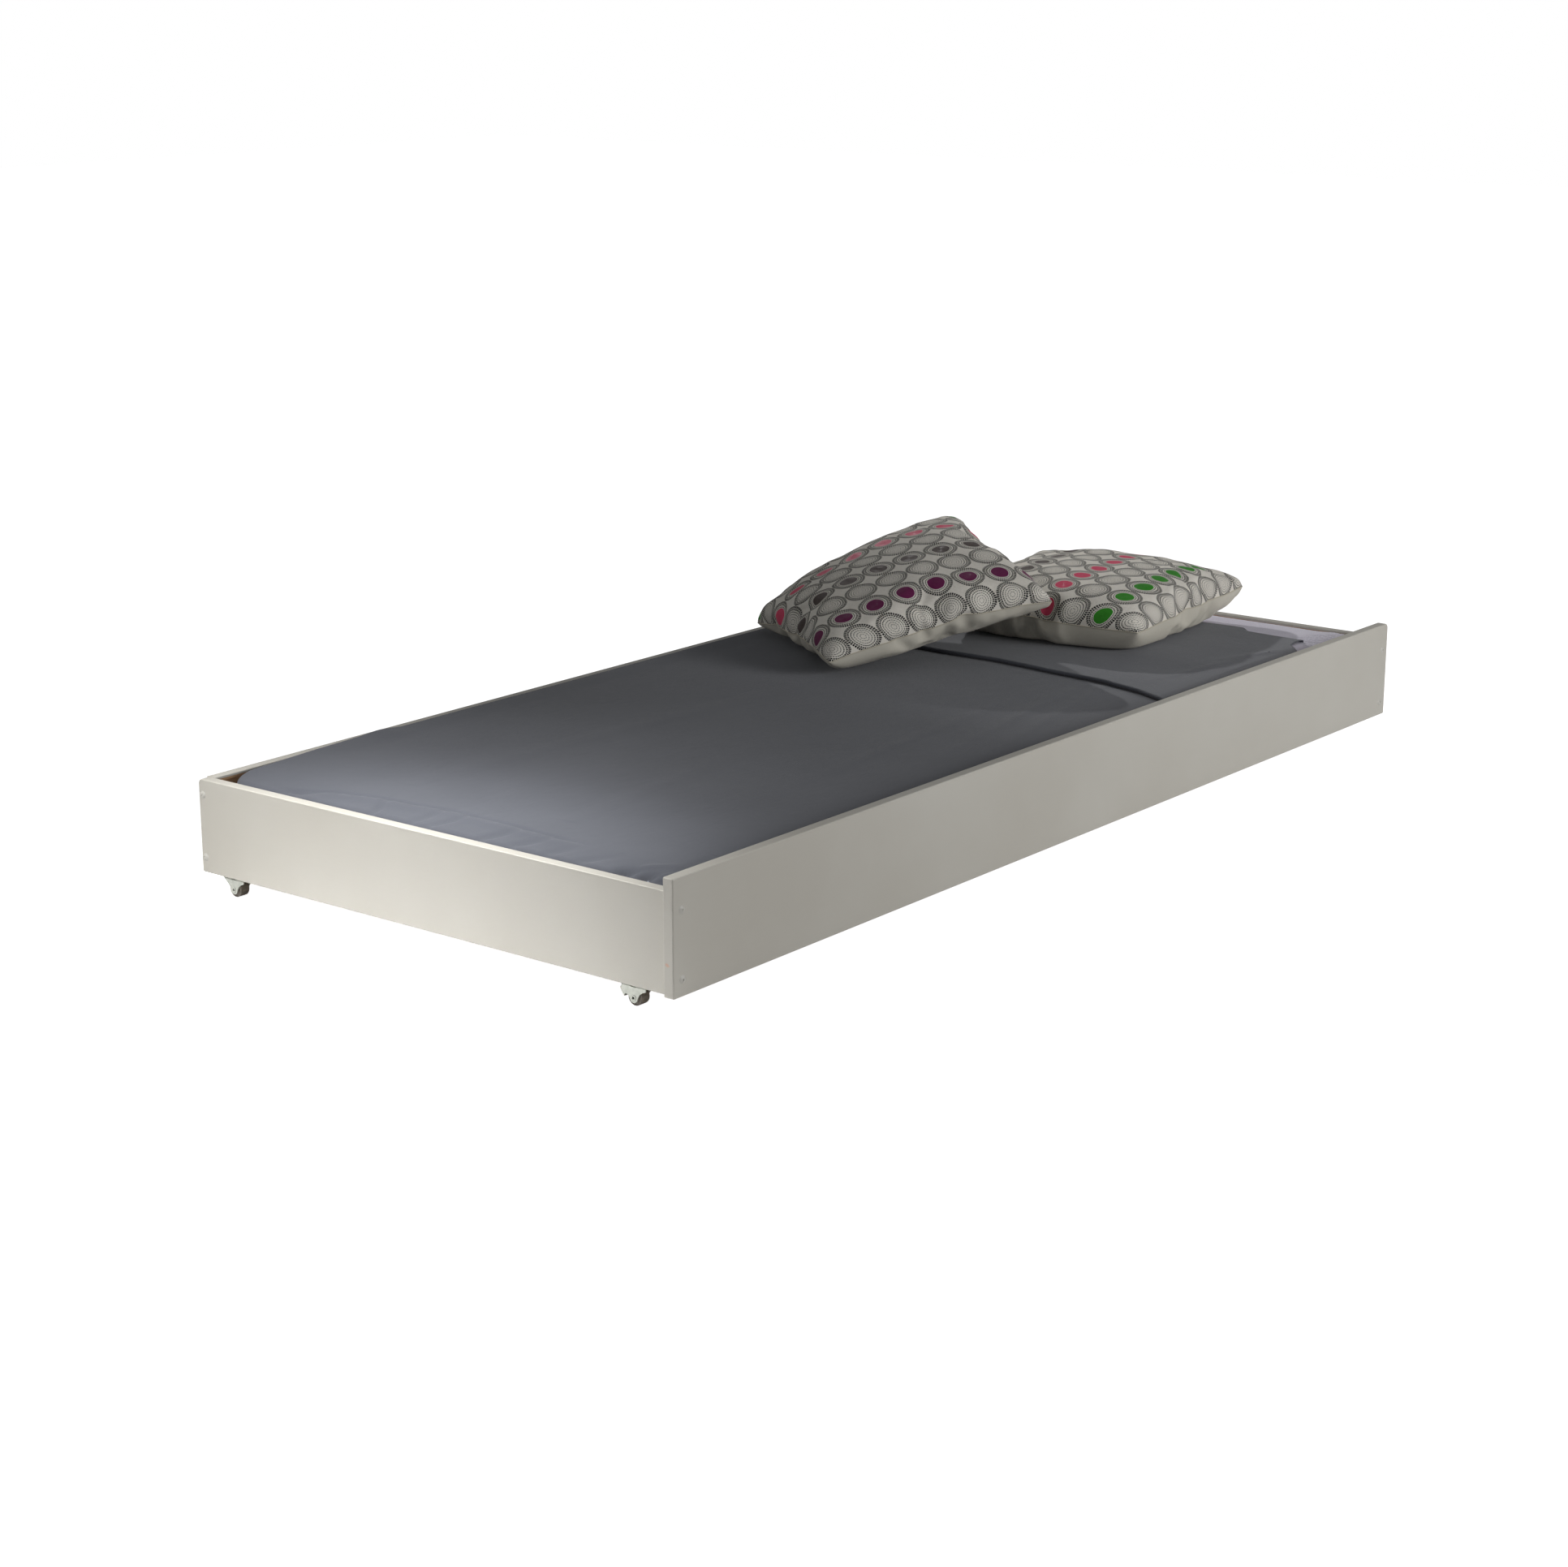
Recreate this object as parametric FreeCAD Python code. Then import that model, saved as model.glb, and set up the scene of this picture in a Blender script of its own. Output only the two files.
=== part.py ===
import FreeCAD, Part
import math
import os

# Low trundle bed on four small castors: a painted frame of four boards, a slatted base on pine
# cleats, a mattress with its bedding, and two square pillows.
#
# Millimetres. +X runs along the bed, +Z is up and the tall front board faces -Y.
# The origin is on the floor, under the middle of the bed.

V = FreeCAD.Vector
X_AXIS = V(1, 0, 0)
Y_AXIS = V(0, 1, 0)
Z_AXIS = V(0, 0, 1)

# Driving dimensions of the frame.
WELL_LENGTH = 2010.0
WELL_WIDTH = 930.0
BOARD = 18.0
SIDE_HEIGHT = 150.0
FRONT_HEIGHT = 173.0
FRONT_OVERHANG = 10.0
EDGE_RADIUS = 2.0
CORNER_RADIUS = 3.0
FRONT_FAR_CORNER_RADIUS = 10.0
END_REAR_CORNER_RADIUS = 8.0

# Slatted base.
CLEAT_WIDTH = 28.0
CLEAT_HEIGHT = 25.0
CLEAT_EDGE = 1.5
SLAT_COUNT = 14
SLAT_PITCH = 145.0
SLAT_WIDTH = 70.0
SLAT_HEIGHT = 18.0
SLAT_END_GAP = 2.0
SLAT_EDGE = 3.0
LONG_CLEAT_SCREWS = 7
LONG_CLEAT_SCREW_PITCH = 290.0
END_CLEAT_SCREWS = 3
END_CLEAT_SCREW_PITCH = 300.0

# Fasteners.
HOLE_CLEARANCE = 0.05
HOLE_RELIEF = 1.0
FRAME_SCREW_LENGTH = 50.0
FRAME_SCREW_RADIUS = 2.5
FRAME_SCREW_HEAD_RADIUS = 5.0
FRAME_SCREW_HEAD_HEIGHT = 3.5
FRAME_SCREW_HEIGHTS = (25.0, 125.0)
SCREW_TIP_SHARE = 0.4
HEXAGON = 6
SOCKET_WIDTH = 4.0
SOCKET_DEPTH = 2.5
CAP_RADIUS = 6.25
CAP_PROUD = 1.8
CAP_CROWN = 2.0
CAP_DIMPLE_RADIUS = 1.5
CAP_DIMPLE_DEPTH = 0.8
CAP_PEG_RADIUS = 1.8
CAP_PEG_LENGTH = 2.2
WOOD_SCREW_RADIUS = 2.0
WOOD_SCREW_HEAD_RADIUS = 4.0
WOOD_SCREW_HEAD_HEIGHT = 2.5
CLEAT_SCREW_LENGTH = 40.0
SLAT_SCREW_LENGTH = 35.0
DRIVE_WIDTH = 0.9
DRIVE_LENGTH = 4.4
DRIVE_DEPTH = 1.2
DOWEL_RADIUS = 4.0
DOWEL_LENGTH = 35.0
DOWEL_IN_FACE = 12.0
DOWEL_CHAMFER = 1.0
DOWEL_HEIGHT = 75.0

# Rigid castors.
CASTOR_HEIGHT = 30.0
CASTOR_SETBACK = 2.0
CASTOR_REAR_Y = 416.0
CASTOR_FRONT_Y = -399.0
WHEEL_RADIUS = 12.5
WHEEL_WIDTH = 18.0
WHEEL_EDGE = 1.5
HUB_RADIUS = 5.0
HUB_WIDTH = 19.4
RIM_INNER_RADIUS = 10.3
RECESS_DRAFT = 0.4
WEB_WIDTH = 15.6
AXLE_RADIUS = 3.0
AXLE_BORE_RADIUS = 2.1
AXLE_FLANGE_RADIUS = 4.3
AXLE_FLANGE = 0.8
BRACKET_LENGTH = 44.0
BRACKET_WIDTH = 24.0
SHEET = 2.0
BOSS_RADIUS = 7.3
BEND_RADIUS = 1.8
FORK_SHOULDER = (-22.0, 24.5)
FORK_WAIST = (-12.3, 19.6)
FORK_BOSS_START = 195.0
BRAKED_FORK_BOSS_END = 345.0
BRAKED_FORK_WAIST = (11.0, 15.4)
BRAKED_FORK_SHOULDER = (22.0, 17.5)
PLAIN_FORK_BOSS_END = 365.0
PLAIN_FORK_WAIST = (8.0, 15.4)
PLAIN_FORK_KNEE = (9.5, 17.4)
PLAIN_FORK_SHOULDER = (22.0, 29.0)
FOLD_SLOT_LENGTH = 10.5
FOLD_SLOT_DEPTH = 3.2
FOLD_SLOT_HEIGHT = 1.8
CASTOR_SCREW_OFFSET_X = 3.0
CASTOR_SCREW_OFFSET_Y = 16.0
CASTOR_SCREW_RADIUS = 1.9
CASTOR_SCREW_HEAD_RADIUS = 3.6
CASTOR_SCREW_HEAD_HEIGHT = 2.0
CASTOR_SCREW_HEAD_EDGE = 0.9
CASTOR_SCREW_LENGTH = 18.0
PLATE_HOLE_RADIUS = 2.2
BRAKE_PIVOT = (16.5, 21.5)
BRAKE_PIN_RADIUS = 1.5
BRAKE_RING_RADIUS = 3.5
LEVER_WIDTH = 19.0
LEVER_CHEEK = 2.0

# The brake lever's outline, as (y from the axle, z from the floor) with the brake off.
LEVER_TIP = (19.4, 10.4)
LEVER_HEEL = (27.0, 22.8)
LEVER_BROW = (25.2, 24.8)
LEVER_NOSE = (13.2, 16.5)
LEVER_THROAT = (15.2, 15.4)
LEVER_ARCH = (18.0, 14.6)
LEVER_NECK = (13.6, 21.0)
LEVER_SHOULDER = (18.0, 24.3)
LEVER_OUTLINE = (
    BRAKE_PIVOT,
    LEVER_SHOULDER,
    LEVER_BROW,
    LEVER_HEEL,
    LEVER_TIP,
    LEVER_ARCH,
    LEVER_THROAT,
    LEVER_NOSE,
    LEVER_NECK,
)

# What is hollow between the lever's cheeks, from above the pivot round to under the tread.
POCKET_MOUTH = ((11.0, 27.0), (11.0, 18.2))
POCKET_FLOOR = ((15.4, 18.0), (20.0, 15.9))
POCKET_ROOF = ((24.6, 23.2), (19.0, 23.2), (19.0, 27.0))
LEVER_POCKET = POCKET_MOUTH + POCKET_FLOOR + POCKET_ROOF

# Mattress, bedding and pillows.
MATTRESS_LENGTH = 1992.0
MATTRESS_WIDTH = 912.0
MATTRESS_HEIGHT = 107.0
MATTRESS_CORNER = 60.0
MATTRESS_EDGE = 22.0
LAYER_GAP = 0.3
UNDER_SHEET = 1.2
COVER = 2.7
SKIRT_LIFT = 30.0
COVER_FAR_X = 912.0
FOLD_NEAR_X = 370.0
FOLD_HALF_WIDTH = 448.0
FOLD_THICKNESS = 7.7
FOLD_CORNER = 40.0
FOLD_EDGE = 3.0
PILLOW_SIDE = 430.0
FLAT_PILLOW_THICKNESS = 120.0
FLAT_PILLOW_CENTRE = (732.0, -22.0)
FLAT_PILLOW_TURN = 7.5
LEANING_PILLOW_THICKNESS = 110.0
LEANING_PILLOW_CENTRE = (364.0, 162.0, 288.5)
LEANING_PILLOW_TURN = -34.1
LEANING_PILLOW_LEAN = 17.7
LEANING_PILLOW_ROLL = 4.3

# Places worked out from the driving dimensions. The screw caps stand proud of the front face,
# so the well's centre line is half their height behind the origin.
WELL_Y = CAP_PROUD / 2
WELL_END = WELL_LENGTH / 2
END_FACE = WELL_END + BOARD
BOARD_MIDDLE = WELL_END + BOARD / 2
WELL_FRONT = WELL_Y - WELL_WIDTH / 2
WELL_REAR = WELL_Y + WELL_WIDTH / 2
FRONT_FACE = WELL_FRONT - BOARD
REAR_FACE = WELL_REAR + BOARD
REAR_MIDDLE = WELL_REAR + BOARD / 2
BASE = CASTOR_HEIGHT
SIDE_TOP = BASE + SIDE_HEIGHT
CLEAT_TOP = BASE + CLEAT_HEIGHT
SLAT_TOP = CLEAT_TOP + SLAT_HEIGHT
CASTOR_X = END_FACE - CASTOR_SETBACK - BRACKET_WIDTH / 2
MATTRESS_TOP = SLAT_TOP + MATTRESS_HEIGHT
UNDER_SHEET_OFFSET = LAYER_GAP + UNDER_SHEET
COVER_OFFSET = UNDER_SHEET_OFFSET + LAYER_GAP + COVER
COVER_TOP = MATTRESS_TOP + COVER_OFFSET
FOLD_TOP = COVER_TOP + LAYER_GAP + FOLD_THICKNESS
SIDES = {"left": -1, "right": 1}

# The share of a quarter circle's radius that its middle stands in from the square corner.
ARC_SHARE = 1 - math.sqrt(0.5)

# How near two places count as the same: for exact faces, and for edges on rounded outlines.
TINY = 1e-6
NEAR = 1.0


def box(x_range, y_range, z_range):
    """A plain box between two values on each axis, given in any order."""
    lows = [min(r) for r in (x_range, y_range, z_range)]
    sizes = [max(r) - min(r) for r in (x_range, y_range, z_range)]
    return Part.makeBox(*sizes, V(*lows))


def rounded_face(u_range, v_range, radii, to_3d):
    """A rectangle with its own radius at each corner, anticlockwise from the lowest u and v."""
    (u0, u1), (v0, v1) = u_range, v_range
    corners = [V(u0, v0, 0), V(u1, v0, 0), V(u1, v1, 0), V(u0, v1, 0)]
    edges = []
    ends = []
    for index, corner in enumerate(corners):
        back = (corners[index - 1] - corner).normalize()
        ahead = (corners[(index + 1) % len(corners)] - corner).normalize()
        begin = corner + back * radii[index]
        middle = corner + (back + ahead) * (radii[index] * ARC_SHARE)
        finish = corner + ahead * radii[index]
        ends.append((begin, finish))
        if radii[index]:
            edges.append(Part.Arc(*[to_3d(point.x, point.y) for point in (begin, middle, finish)]).toShape())
    for index, (_, finish) in enumerate(ends):
        begin = ends[(index + 1) % len(ends)][0]
        edges.append(Part.makeLine(to_3d(finish.x, finish.y), to_3d(begin.x, begin.y)))
    return Part.Face(Part.Wire(Part.__sortEdges__(edges)))


def soften(shape, radius, wanted):
    """Round the edges that pass a test."""
    edges = [edge for edge in shape.Edges if wanted(edge)]
    return shape.makeFillet(radius, edges)


def runs_along(edge, axis):
    """True for a straight edge that is parallel to an axis."""
    if len(edge.Vertexes) < 2:
        return False
    direction = edge.Vertexes[1].Point.sub(edge.Vertexes[0].Point)
    return abs(abs(direction.dot(axis)) - direction.Length) < TINY < direction.Length


def starts_at(edge, letter, value):
    """True for an edge whose first point has a given x, y or z."""
    return abs(getattr(edge.Vertexes[0].Point, letter) - value) < TINY


def placed(shape, position, direction):
    """A copy of a shape made along +Z from the origin, moved so that it points another way."""
    copy = shape.copy()
    copy.Placement = FreeCAD.Placement(position, FreeCAD.Rotation(Z_AXIS, direction))
    return copy


def polygon_plate(points, x_range):
    """A flat plate with an outline given as (y, z) points, between two values of x."""
    low = min(x_range)
    corners = [V(low, y, z) for y, z in points]
    face = Part.Face(Part.makePolygon(corners + [corners[0]]))
    return face.extrude(V(max(x_range) - low, 0, 0))


# Fasteners. Each is made along +Z: the top of its head is at the origin and it points up.


def countersunk(length, radius, head_radius, head_height):
    head = Part.makeCone(head_radius, radius, head_height)
    shank = Part.makeCylinder(radius, length - head_height - radius, V(0, 0, head_height))
    point = Part.makeCone(radius, SCREW_TIP_SHARE * radius, radius, V(0, 0, length - radius))
    return head.fuse([shank, point]).removeSplitter()


def countersunk_hole(length, radius, head_radius, head_height):
    """The hole for a countersunk screw, which opens a little above the surface."""
    wide = head_radius + HOLE_CLEARANCE
    narrow = radius + HOLE_CLEARANCE
    mouth = Part.makeCylinder(wide, HOLE_RELIEF, V(0, 0, -HOLE_RELIEF))
    cone = Part.makeCone(wide, narrow, head_height)
    bore = Part.makeCylinder(narrow, length - head_height + HOLE_RELIEF, V(0, 0, head_height))
    return mouth.fuse([cone, bore]).removeSplitter()


def cross_drive(depth):
    """The cross recess of a wood screw."""
    half_long = DRIVE_LENGTH / 2
    half_wide = DRIVE_WIDTH / 2
    first = box((-half_long, half_long), (-half_wide, half_wide), (-HOLE_RELIEF, depth))
    second = box((-half_wide, half_wide), (-half_long, half_long), (-HOLE_RELIEF, depth))
    return first.fuse(second)


def frame_screw():
    screw = countersunk(
        FRAME_SCREW_LENGTH, FRAME_SCREW_RADIUS, FRAME_SCREW_HEAD_RADIUS, FRAME_SCREW_HEAD_HEIGHT
    )
    socket_corner = SOCKET_WIDTH / math.sqrt(3)
    angles = [math.tau * step / HEXAGON for step in range(HEXAGON + 1)]
    hexagon = [V(socket_corner * math.cos(a), socket_corner * math.sin(a), 0) for a in angles]
    socket = Part.Face(Part.makePolygon(hexagon)).extrude(V(0, 0, SOCKET_DEPTH))
    return screw.cut(socket)


def frame_screw_hole():
    return countersunk_hole(
        FRAME_SCREW_LENGTH, FRAME_SCREW_RADIUS, FRAME_SCREW_HEAD_RADIUS, FRAME_SCREW_HEAD_HEIGHT
    )


def wood_screw(length):
    screw = countersunk(length, WOOD_SCREW_RADIUS, WOOD_SCREW_HEAD_RADIUS, WOOD_SCREW_HEAD_HEIGHT)
    return screw.cut(cross_drive(DRIVE_DEPTH))


def wood_screw_hole(length):
    return countersunk_hole(length, WOOD_SCREW_RADIUS, WOOD_SCREW_HEAD_RADIUS, WOOD_SCREW_HEAD_HEIGHT)


def screw_cap():
    """A shallow dome with a flat, dimpled top, and a peg that plugs into the screw's socket."""
    sphere_radius = (CAP_RADIUS**2 + CAP_CROWN**2) / (2 * CAP_CROWN)
    ball = Part.makeSphere(sphere_radius, V(0, 0, sphere_radius - CAP_CROWN))
    dome = ball.common(box((-CAP_RADIUS, CAP_RADIUS), (-CAP_RADIUS, CAP_RADIUS), (-CAP_PROUD, 0)))
    peg = Part.makeCylinder(CAP_PEG_RADIUS, CAP_PEG_LENGTH + HOLE_RELIEF, V(0, 0, -HOLE_RELIEF))
    dimple = Part.makeCylinder(CAP_DIMPLE_RADIUS, CAP_DIMPLE_DEPTH, V(0, 0, -CAP_PROUD))
    return dome.fuse(peg).cut(dimple).removeSplitter()


def castor_screw():
    """A pan-head screw."""
    head = Part.makeCylinder(CASTOR_SCREW_HEAD_RADIUS, CASTOR_SCREW_HEAD_HEIGHT)
    head = soften(head, CASTOR_SCREW_HEAD_EDGE, lambda edge: edge.BoundBox.ZMax < TINY)
    shank_length = CASTOR_SCREW_LENGTH - CASTOR_SCREW_RADIUS
    shank = Part.makeCylinder(CASTOR_SCREW_RADIUS, shank_length, V(0, 0, CASTOR_SCREW_HEAD_HEIGHT))
    tip_base = V(0, 0, CASTOR_SCREW_HEAD_HEIGHT + shank_length)
    tip_radius = SCREW_TIP_SHARE * CASTOR_SCREW_RADIUS
    point = Part.makeCone(CASTOR_SCREW_RADIUS, tip_radius, CASTOR_SCREW_RADIUS, tip_base)
    return head.fuse([shank, point]).cut(cross_drive(DRIVE_DEPTH))


def dowel():
    """A wooden dowel with chamfered ends."""
    pin = Part.makeCylinder(DOWEL_RADIUS, DOWEL_LENGTH)
    ends = [edge for edge in pin.Edges if not runs_along(edge, Z_AXIS)]
    return pin.makeChamfer(DOWEL_CHAMFER, ends)


def dowel_hole():
    return Part.makeCylinder(
        DOWEL_RADIUS + HOLE_CLEARANCE, DOWEL_LENGTH + 2 * HOLE_RELIEF, V(0, 0, -HOLE_RELIEF)
    )


# Places of the fasteners, as lists of (point, direction).


def frame_screw_places():
    places = []
    for side in SIDES.values():
        for height in FRAME_SCREW_HEIGHTS:
            places.append((V(side * BOARD_MIDDLE, FRONT_FACE, BASE + height), Y_AXIS))
            places.append((V(side * END_FACE, REAR_MIDDLE, BASE + height), V(-side, 0, 0)))
    return places


def dowel_places():
    places = []
    for side in SIDES.values():
        height = BASE + DOWEL_HEIGHT
        places.append((V(side * BOARD_MIDDLE, WELL_FRONT - DOWEL_IN_FACE, height), Y_AXIS))
        places.append((V(side * (WELL_END + DOWEL_IN_FACE), REAR_MIDDLE, height), V(-side, 0, 0)))
    return places


def spread(count, pitch):
    """Evenly spaced values about zero."""
    return [(index - (count - 1) / 2) * pitch for index in range(count)]


def cleat_screw_places():
    places = []
    height = BASE + CLEAT_HEIGHT / 2
    for x in spread(LONG_CLEAT_SCREWS, LONG_CLEAT_SCREW_PITCH):
        places.append((V(x, WELL_FRONT + CLEAT_WIDTH, height), V(0, -1, 0)))
        places.append((V(x, WELL_REAR - CLEAT_WIDTH, height), Y_AXIS))
    for side in SIDES.values():
        for y in spread(END_CLEAT_SCREWS, END_CLEAT_SCREW_PITCH):
            places.append((V(side * (WELL_END - CLEAT_WIDTH), WELL_Y + y, height), V(side, 0, 0)))
    return places


def slat_screw_places():
    reach = WELL_WIDTH / 2 - CLEAT_WIDTH / 2
    places = []
    for x in spread(SLAT_COUNT, SLAT_PITCH):
        for side in (-1, 1):
            places.append((V(x, WELL_Y + side * reach, SLAT_TOP), V(0, 0, -1)))
    return places


def castors():
    """The four castors, as (name, side along X, y, whether it has a brake)."""
    found = []
    for side_name, side in SIDES.items():
        found.append((f"rear_{side_name}", side, CASTOR_REAR_Y, False))
        found.append((f"front_{side_name}", side, CASTOR_FRONT_Y, True))
    return found


def castor_screw_places():
    places = []
    height = CASTOR_HEIGHT - SHEET - CASTOR_SCREW_HEAD_HEIGHT
    for _, side, y, _ in castors():
        for offset in (-CASTOR_SCREW_OFFSET_Y, CASTOR_SCREW_OFFSET_Y):
            x = side * (CASTOR_X + CASTOR_SCREW_OFFSET_X)
            places.append((V(x, y + offset, height), Z_AXIS))
    return places


def castor_screw_hole():
    """The pilot hole that a castor screw needs in the board above its plate."""
    return Part.makeCylinder(
        CASTOR_SCREW_RADIUS + HOLE_CLEARANCE,
        CASTOR_SCREW_LENGTH + HOLE_RELIEF,
        V(0, 0, CASTOR_SCREW_HEAD_HEIGHT),
    )


def group(shape, places):
    """Identical pieces as one group of separate solids."""
    return Part.makeCompound([placed(shape, position, direction) for position, direction in places])


def drilled(shape, *hole_groups):
    """The shape with every hole that reaches into it."""
    tools = []
    for hole, places in hole_groups:
        for position, direction in places:
            tool = placed(hole, position, direction)
            if tool.BoundBox.intersect(shape.BoundBox):
                tools.append(tool)
    return shape.cut(tools) if tools else shape


def all_holes():
    return [
        (frame_screw_hole(), frame_screw_places()),
        (dowel_hole(), dowel_places()),
        (wood_screw_hole(CLEAT_SCREW_LENGTH), cleat_screw_places()),
        (wood_screw_hole(SLAT_SCREW_LENGTH), slat_screw_places()),
        (castor_screw_hole(), castor_screw_places()),
    ]


# Boards, cleats and slats.


def front_board():
    half = END_FACE + FRONT_OVERHANG
    radii = (CORNER_RADIUS, CORNER_RADIUS, FRONT_FAR_CORNER_RADIUS, CORNER_RADIUS)
    face = rounded_face(
        (-half, half), (BASE, BASE + FRONT_HEIGHT), radii, lambda u, v: V(u, FRONT_FACE, v)
    )
    board = face.extrude(V(0, BOARD, 0))
    return soften(board, EDGE_RADIUS, lambda edge: not runs_along(edge, Y_AXIS))


def rear_board():
    board = box((-WELL_END, WELL_END), (WELL_REAR, REAR_FACE), (BASE, SIDE_TOP))
    return soften(board, EDGE_RADIUS, lambda edge: runs_along(edge, X_AXIS))


def end_board(side):
    radii = (0, CORNER_RADIUS, END_REAR_CORNER_RADIUS, 0)
    inner = side * WELL_END
    face = rounded_face((WELL_FRONT, REAR_FACE), (BASE, SIDE_TOP), radii, lambda u, v: V(inner, u, v))
    board = face.extrude(V(side * BOARD, 0, 0))

    def exposed(edge):
        at_front = all(abs(vertex.Point.y - WELL_FRONT) < TINY for vertex in edge.Vertexes)
        return not runs_along(edge, X_AXIS) and not at_front

    return soften(board, EDGE_RADIUS, exposed)


def long_cleat(side):
    """side is -1 for the front cleat and +1 for the rear one."""
    wall = WELL_Y + side * WELL_WIDTH / 2
    reach = WELL_END - CLEAT_WIDTH
    cleat = box((-reach, reach), (wall, wall - side * CLEAT_WIDTH), (BASE, CLEAT_TOP))
    inner = wall - side * CLEAT_WIDTH
    return soften(cleat, CLEAT_EDGE, lambda edge: runs_along(edge, X_AXIS) and starts_at(edge, "y", inner))


def end_cleat(side):
    wall = side * WELL_END
    inner = wall - side * CLEAT_WIDTH
    cleat = box((wall, inner), (WELL_FRONT, WELL_REAR), (BASE, CLEAT_TOP))
    return soften(cleat, CLEAT_EDGE, lambda edge: runs_along(edge, Y_AXIS) and starts_at(edge, "x", inner))


def slat(x):
    half = WELL_WIDTH / 2 - SLAT_END_GAP
    plank = box(
        (x - SLAT_WIDTH / 2, x + SLAT_WIDTH / 2), (WELL_Y - half, WELL_Y + half), (CLEAT_TOP, SLAT_TOP)
    )
    return soften(plank, SLAT_EDGE, lambda edge: runs_along(edge, Y_AXIS))


# Castors. Each piece is made round x = 0 and y = 0, and the fork folds down from its top plate.


def fork_side(braked, x_range):
    """One side plate of the fork, with its boss round the axle."""
    half = BRACKET_LENGTH / 2
    low = min(x_range)

    def point(place):
        return V(low, *place)

    def on_boss(angle):
        turn = math.radians(angle)
        return V(low, BOSS_RADIUS * math.cos(turn), WHEEL_RADIUS + BOSS_RADIUS * math.sin(turn))

    boss_end = BRAKED_FORK_BOSS_END if braked else PLAIN_FORK_BOSS_END
    boss_middle = (FORK_BOSS_START + boss_end) / 2
    arcs = [
        (point(FORK_SHOULDER), point(FORK_WAIST), on_boss(FORK_BOSS_START)),
        (on_boss(FORK_BOSS_START), on_boss(boss_middle), on_boss(boss_end)),
    ]
    corners = [V(low, half, CASTOR_HEIGHT), V(low, -half, CASTOR_HEIGHT), point(FORK_SHOULDER)]
    if braked:
        arcs.append((on_boss(boss_end), point(BRAKED_FORK_WAIST), point(BRAKED_FORK_SHOULDER)))
        corners.insert(0, point(BRAKED_FORK_SHOULDER))
    else:
        arcs.append((on_boss(boss_end), point(PLAIN_FORK_WAIST), point(PLAIN_FORK_KNEE)))
        corners[:0] = [point(PLAIN_FORK_KNEE), point(PLAIN_FORK_SHOULDER)]
    edges = [Part.Arc(*arc).toShape() for arc in arcs]
    edges += [Part.makeLine(start, end) for start, end in zip(corners, corners[1:])]
    face = Part.Face(Part.Wire(Part.__sortEdges__(edges)))
    return face.extrude(V(max(x_range) - low, 0, 0))


def cross_hole(radius, place):
    """A hole for a pin, right across the fork at a given (y, z)."""
    start = V(-BRACKET_WIDTH, *place)
    return Part.makeCylinder(radius + HOLE_CLEARANCE, 2 * BRACKET_WIDTH, start, X_AXIS)


def castor_bracket(side, braked):
    half_length = BRACKET_LENGTH / 2
    half_width = BRACKET_WIDTH / 2
    plate = box(
        (-half_width, half_width), (-half_length, half_length), (CASTOR_HEIGHT - SHEET, CASTOR_HEIGHT)
    )
    left = fork_side(braked, (-half_width, SHEET - half_width))
    right = fork_side(braked, (half_width - SHEET, half_width))
    fork = plate.fuse([left, right]).removeSplitter()

    def outer_bend(edge):
        at_corner = starts_at(edge, "x", half_width) or starts_at(edge, "x", -half_width)
        return runs_along(edge, Y_AXIS) and starts_at(edge, "z", CASTOR_HEIGHT) and at_corner

    fork = soften(fork, BEND_RADIUS, outer_bend)
    tools = [cross_hole(AXLE_RADIUS, (0, WHEEL_RADIUS))]
    if braked:
        tools.append(cross_hole(BRAKE_PIN_RADIUS, BRAKE_PIVOT))
    slot_y = (-FOLD_SLOT_LENGTH / 2, FOLD_SLOT_LENGTH / 2)
    slot_z = (CASTOR_HEIGHT - FOLD_SLOT_HEIGHT, CASTOR_HEIGHT + HOLE_RELIEF)
    plate_hole_start = CASTOR_HEIGHT - SHEET - HOLE_RELIEF
    for way in (-1, 1):
        tools.append(box((way * BRACKET_WIDTH, way * (half_width - FOLD_SLOT_DEPTH)), slot_y, slot_z))
        start = V(side * CASTOR_SCREW_OFFSET_X, way * CASTOR_SCREW_OFFSET_Y, plate_hole_start)
        tools.append(Part.makeCylinder(PLATE_HOLE_RADIUS, SHEET + 2 * HOLE_RELIEF, start))
    return fork.cut(tools)


def castor_wheel():
    """A one-piece wheel turned about its axle, with a recessed web on each face."""
    rim = WHEEL_WIDTH / 2
    web = WEB_WIDTH / 2
    hub = HUB_WIDTH / 2
    bore = AXLE_RADIUS + HOLE_CLEARANCE
    face = [(hub, bore), (hub, HUB_RADIUS), (web, HUB_RADIUS + RECESS_DRAFT), (web, RIM_INNER_RADIUS)]
    face += [(rim, RIM_INNER_RADIUS + RECESS_DRAFT), (rim, WHEEL_RADIUS - WHEEL_EDGE)]
    tread = (rim - WHEEL_EDGE, WHEEL_RADIUS)
    shoulder = (rim - ARC_SHARE * WHEEL_EDGE, WHEEL_RADIUS - ARC_SHARE * WHEEL_EDGE)
    edges = []
    for way in (1, -1):
        points = [V(way * x, 0, z) for x, z in face + [shoulder, tread]]
        edges += [Part.makeLine(start, end) for start, end in zip(points, points[1:-2])]
        edges.append(Part.Arc(*points[-3:]).toShape())
    for x, z in (tread, face[0]):
        edges.append(Part.makeLine(V(x, 0, z), V(-x, 0, z)))
    profile = Part.Face(Part.Wire(Part.__sortEdges__(edges)))
    wheel = profile.revolve(V(0, 0, 0), X_AXIS, 360)
    wheel.translate(V(0, 0, WHEEL_RADIUS))
    return wheel


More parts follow.
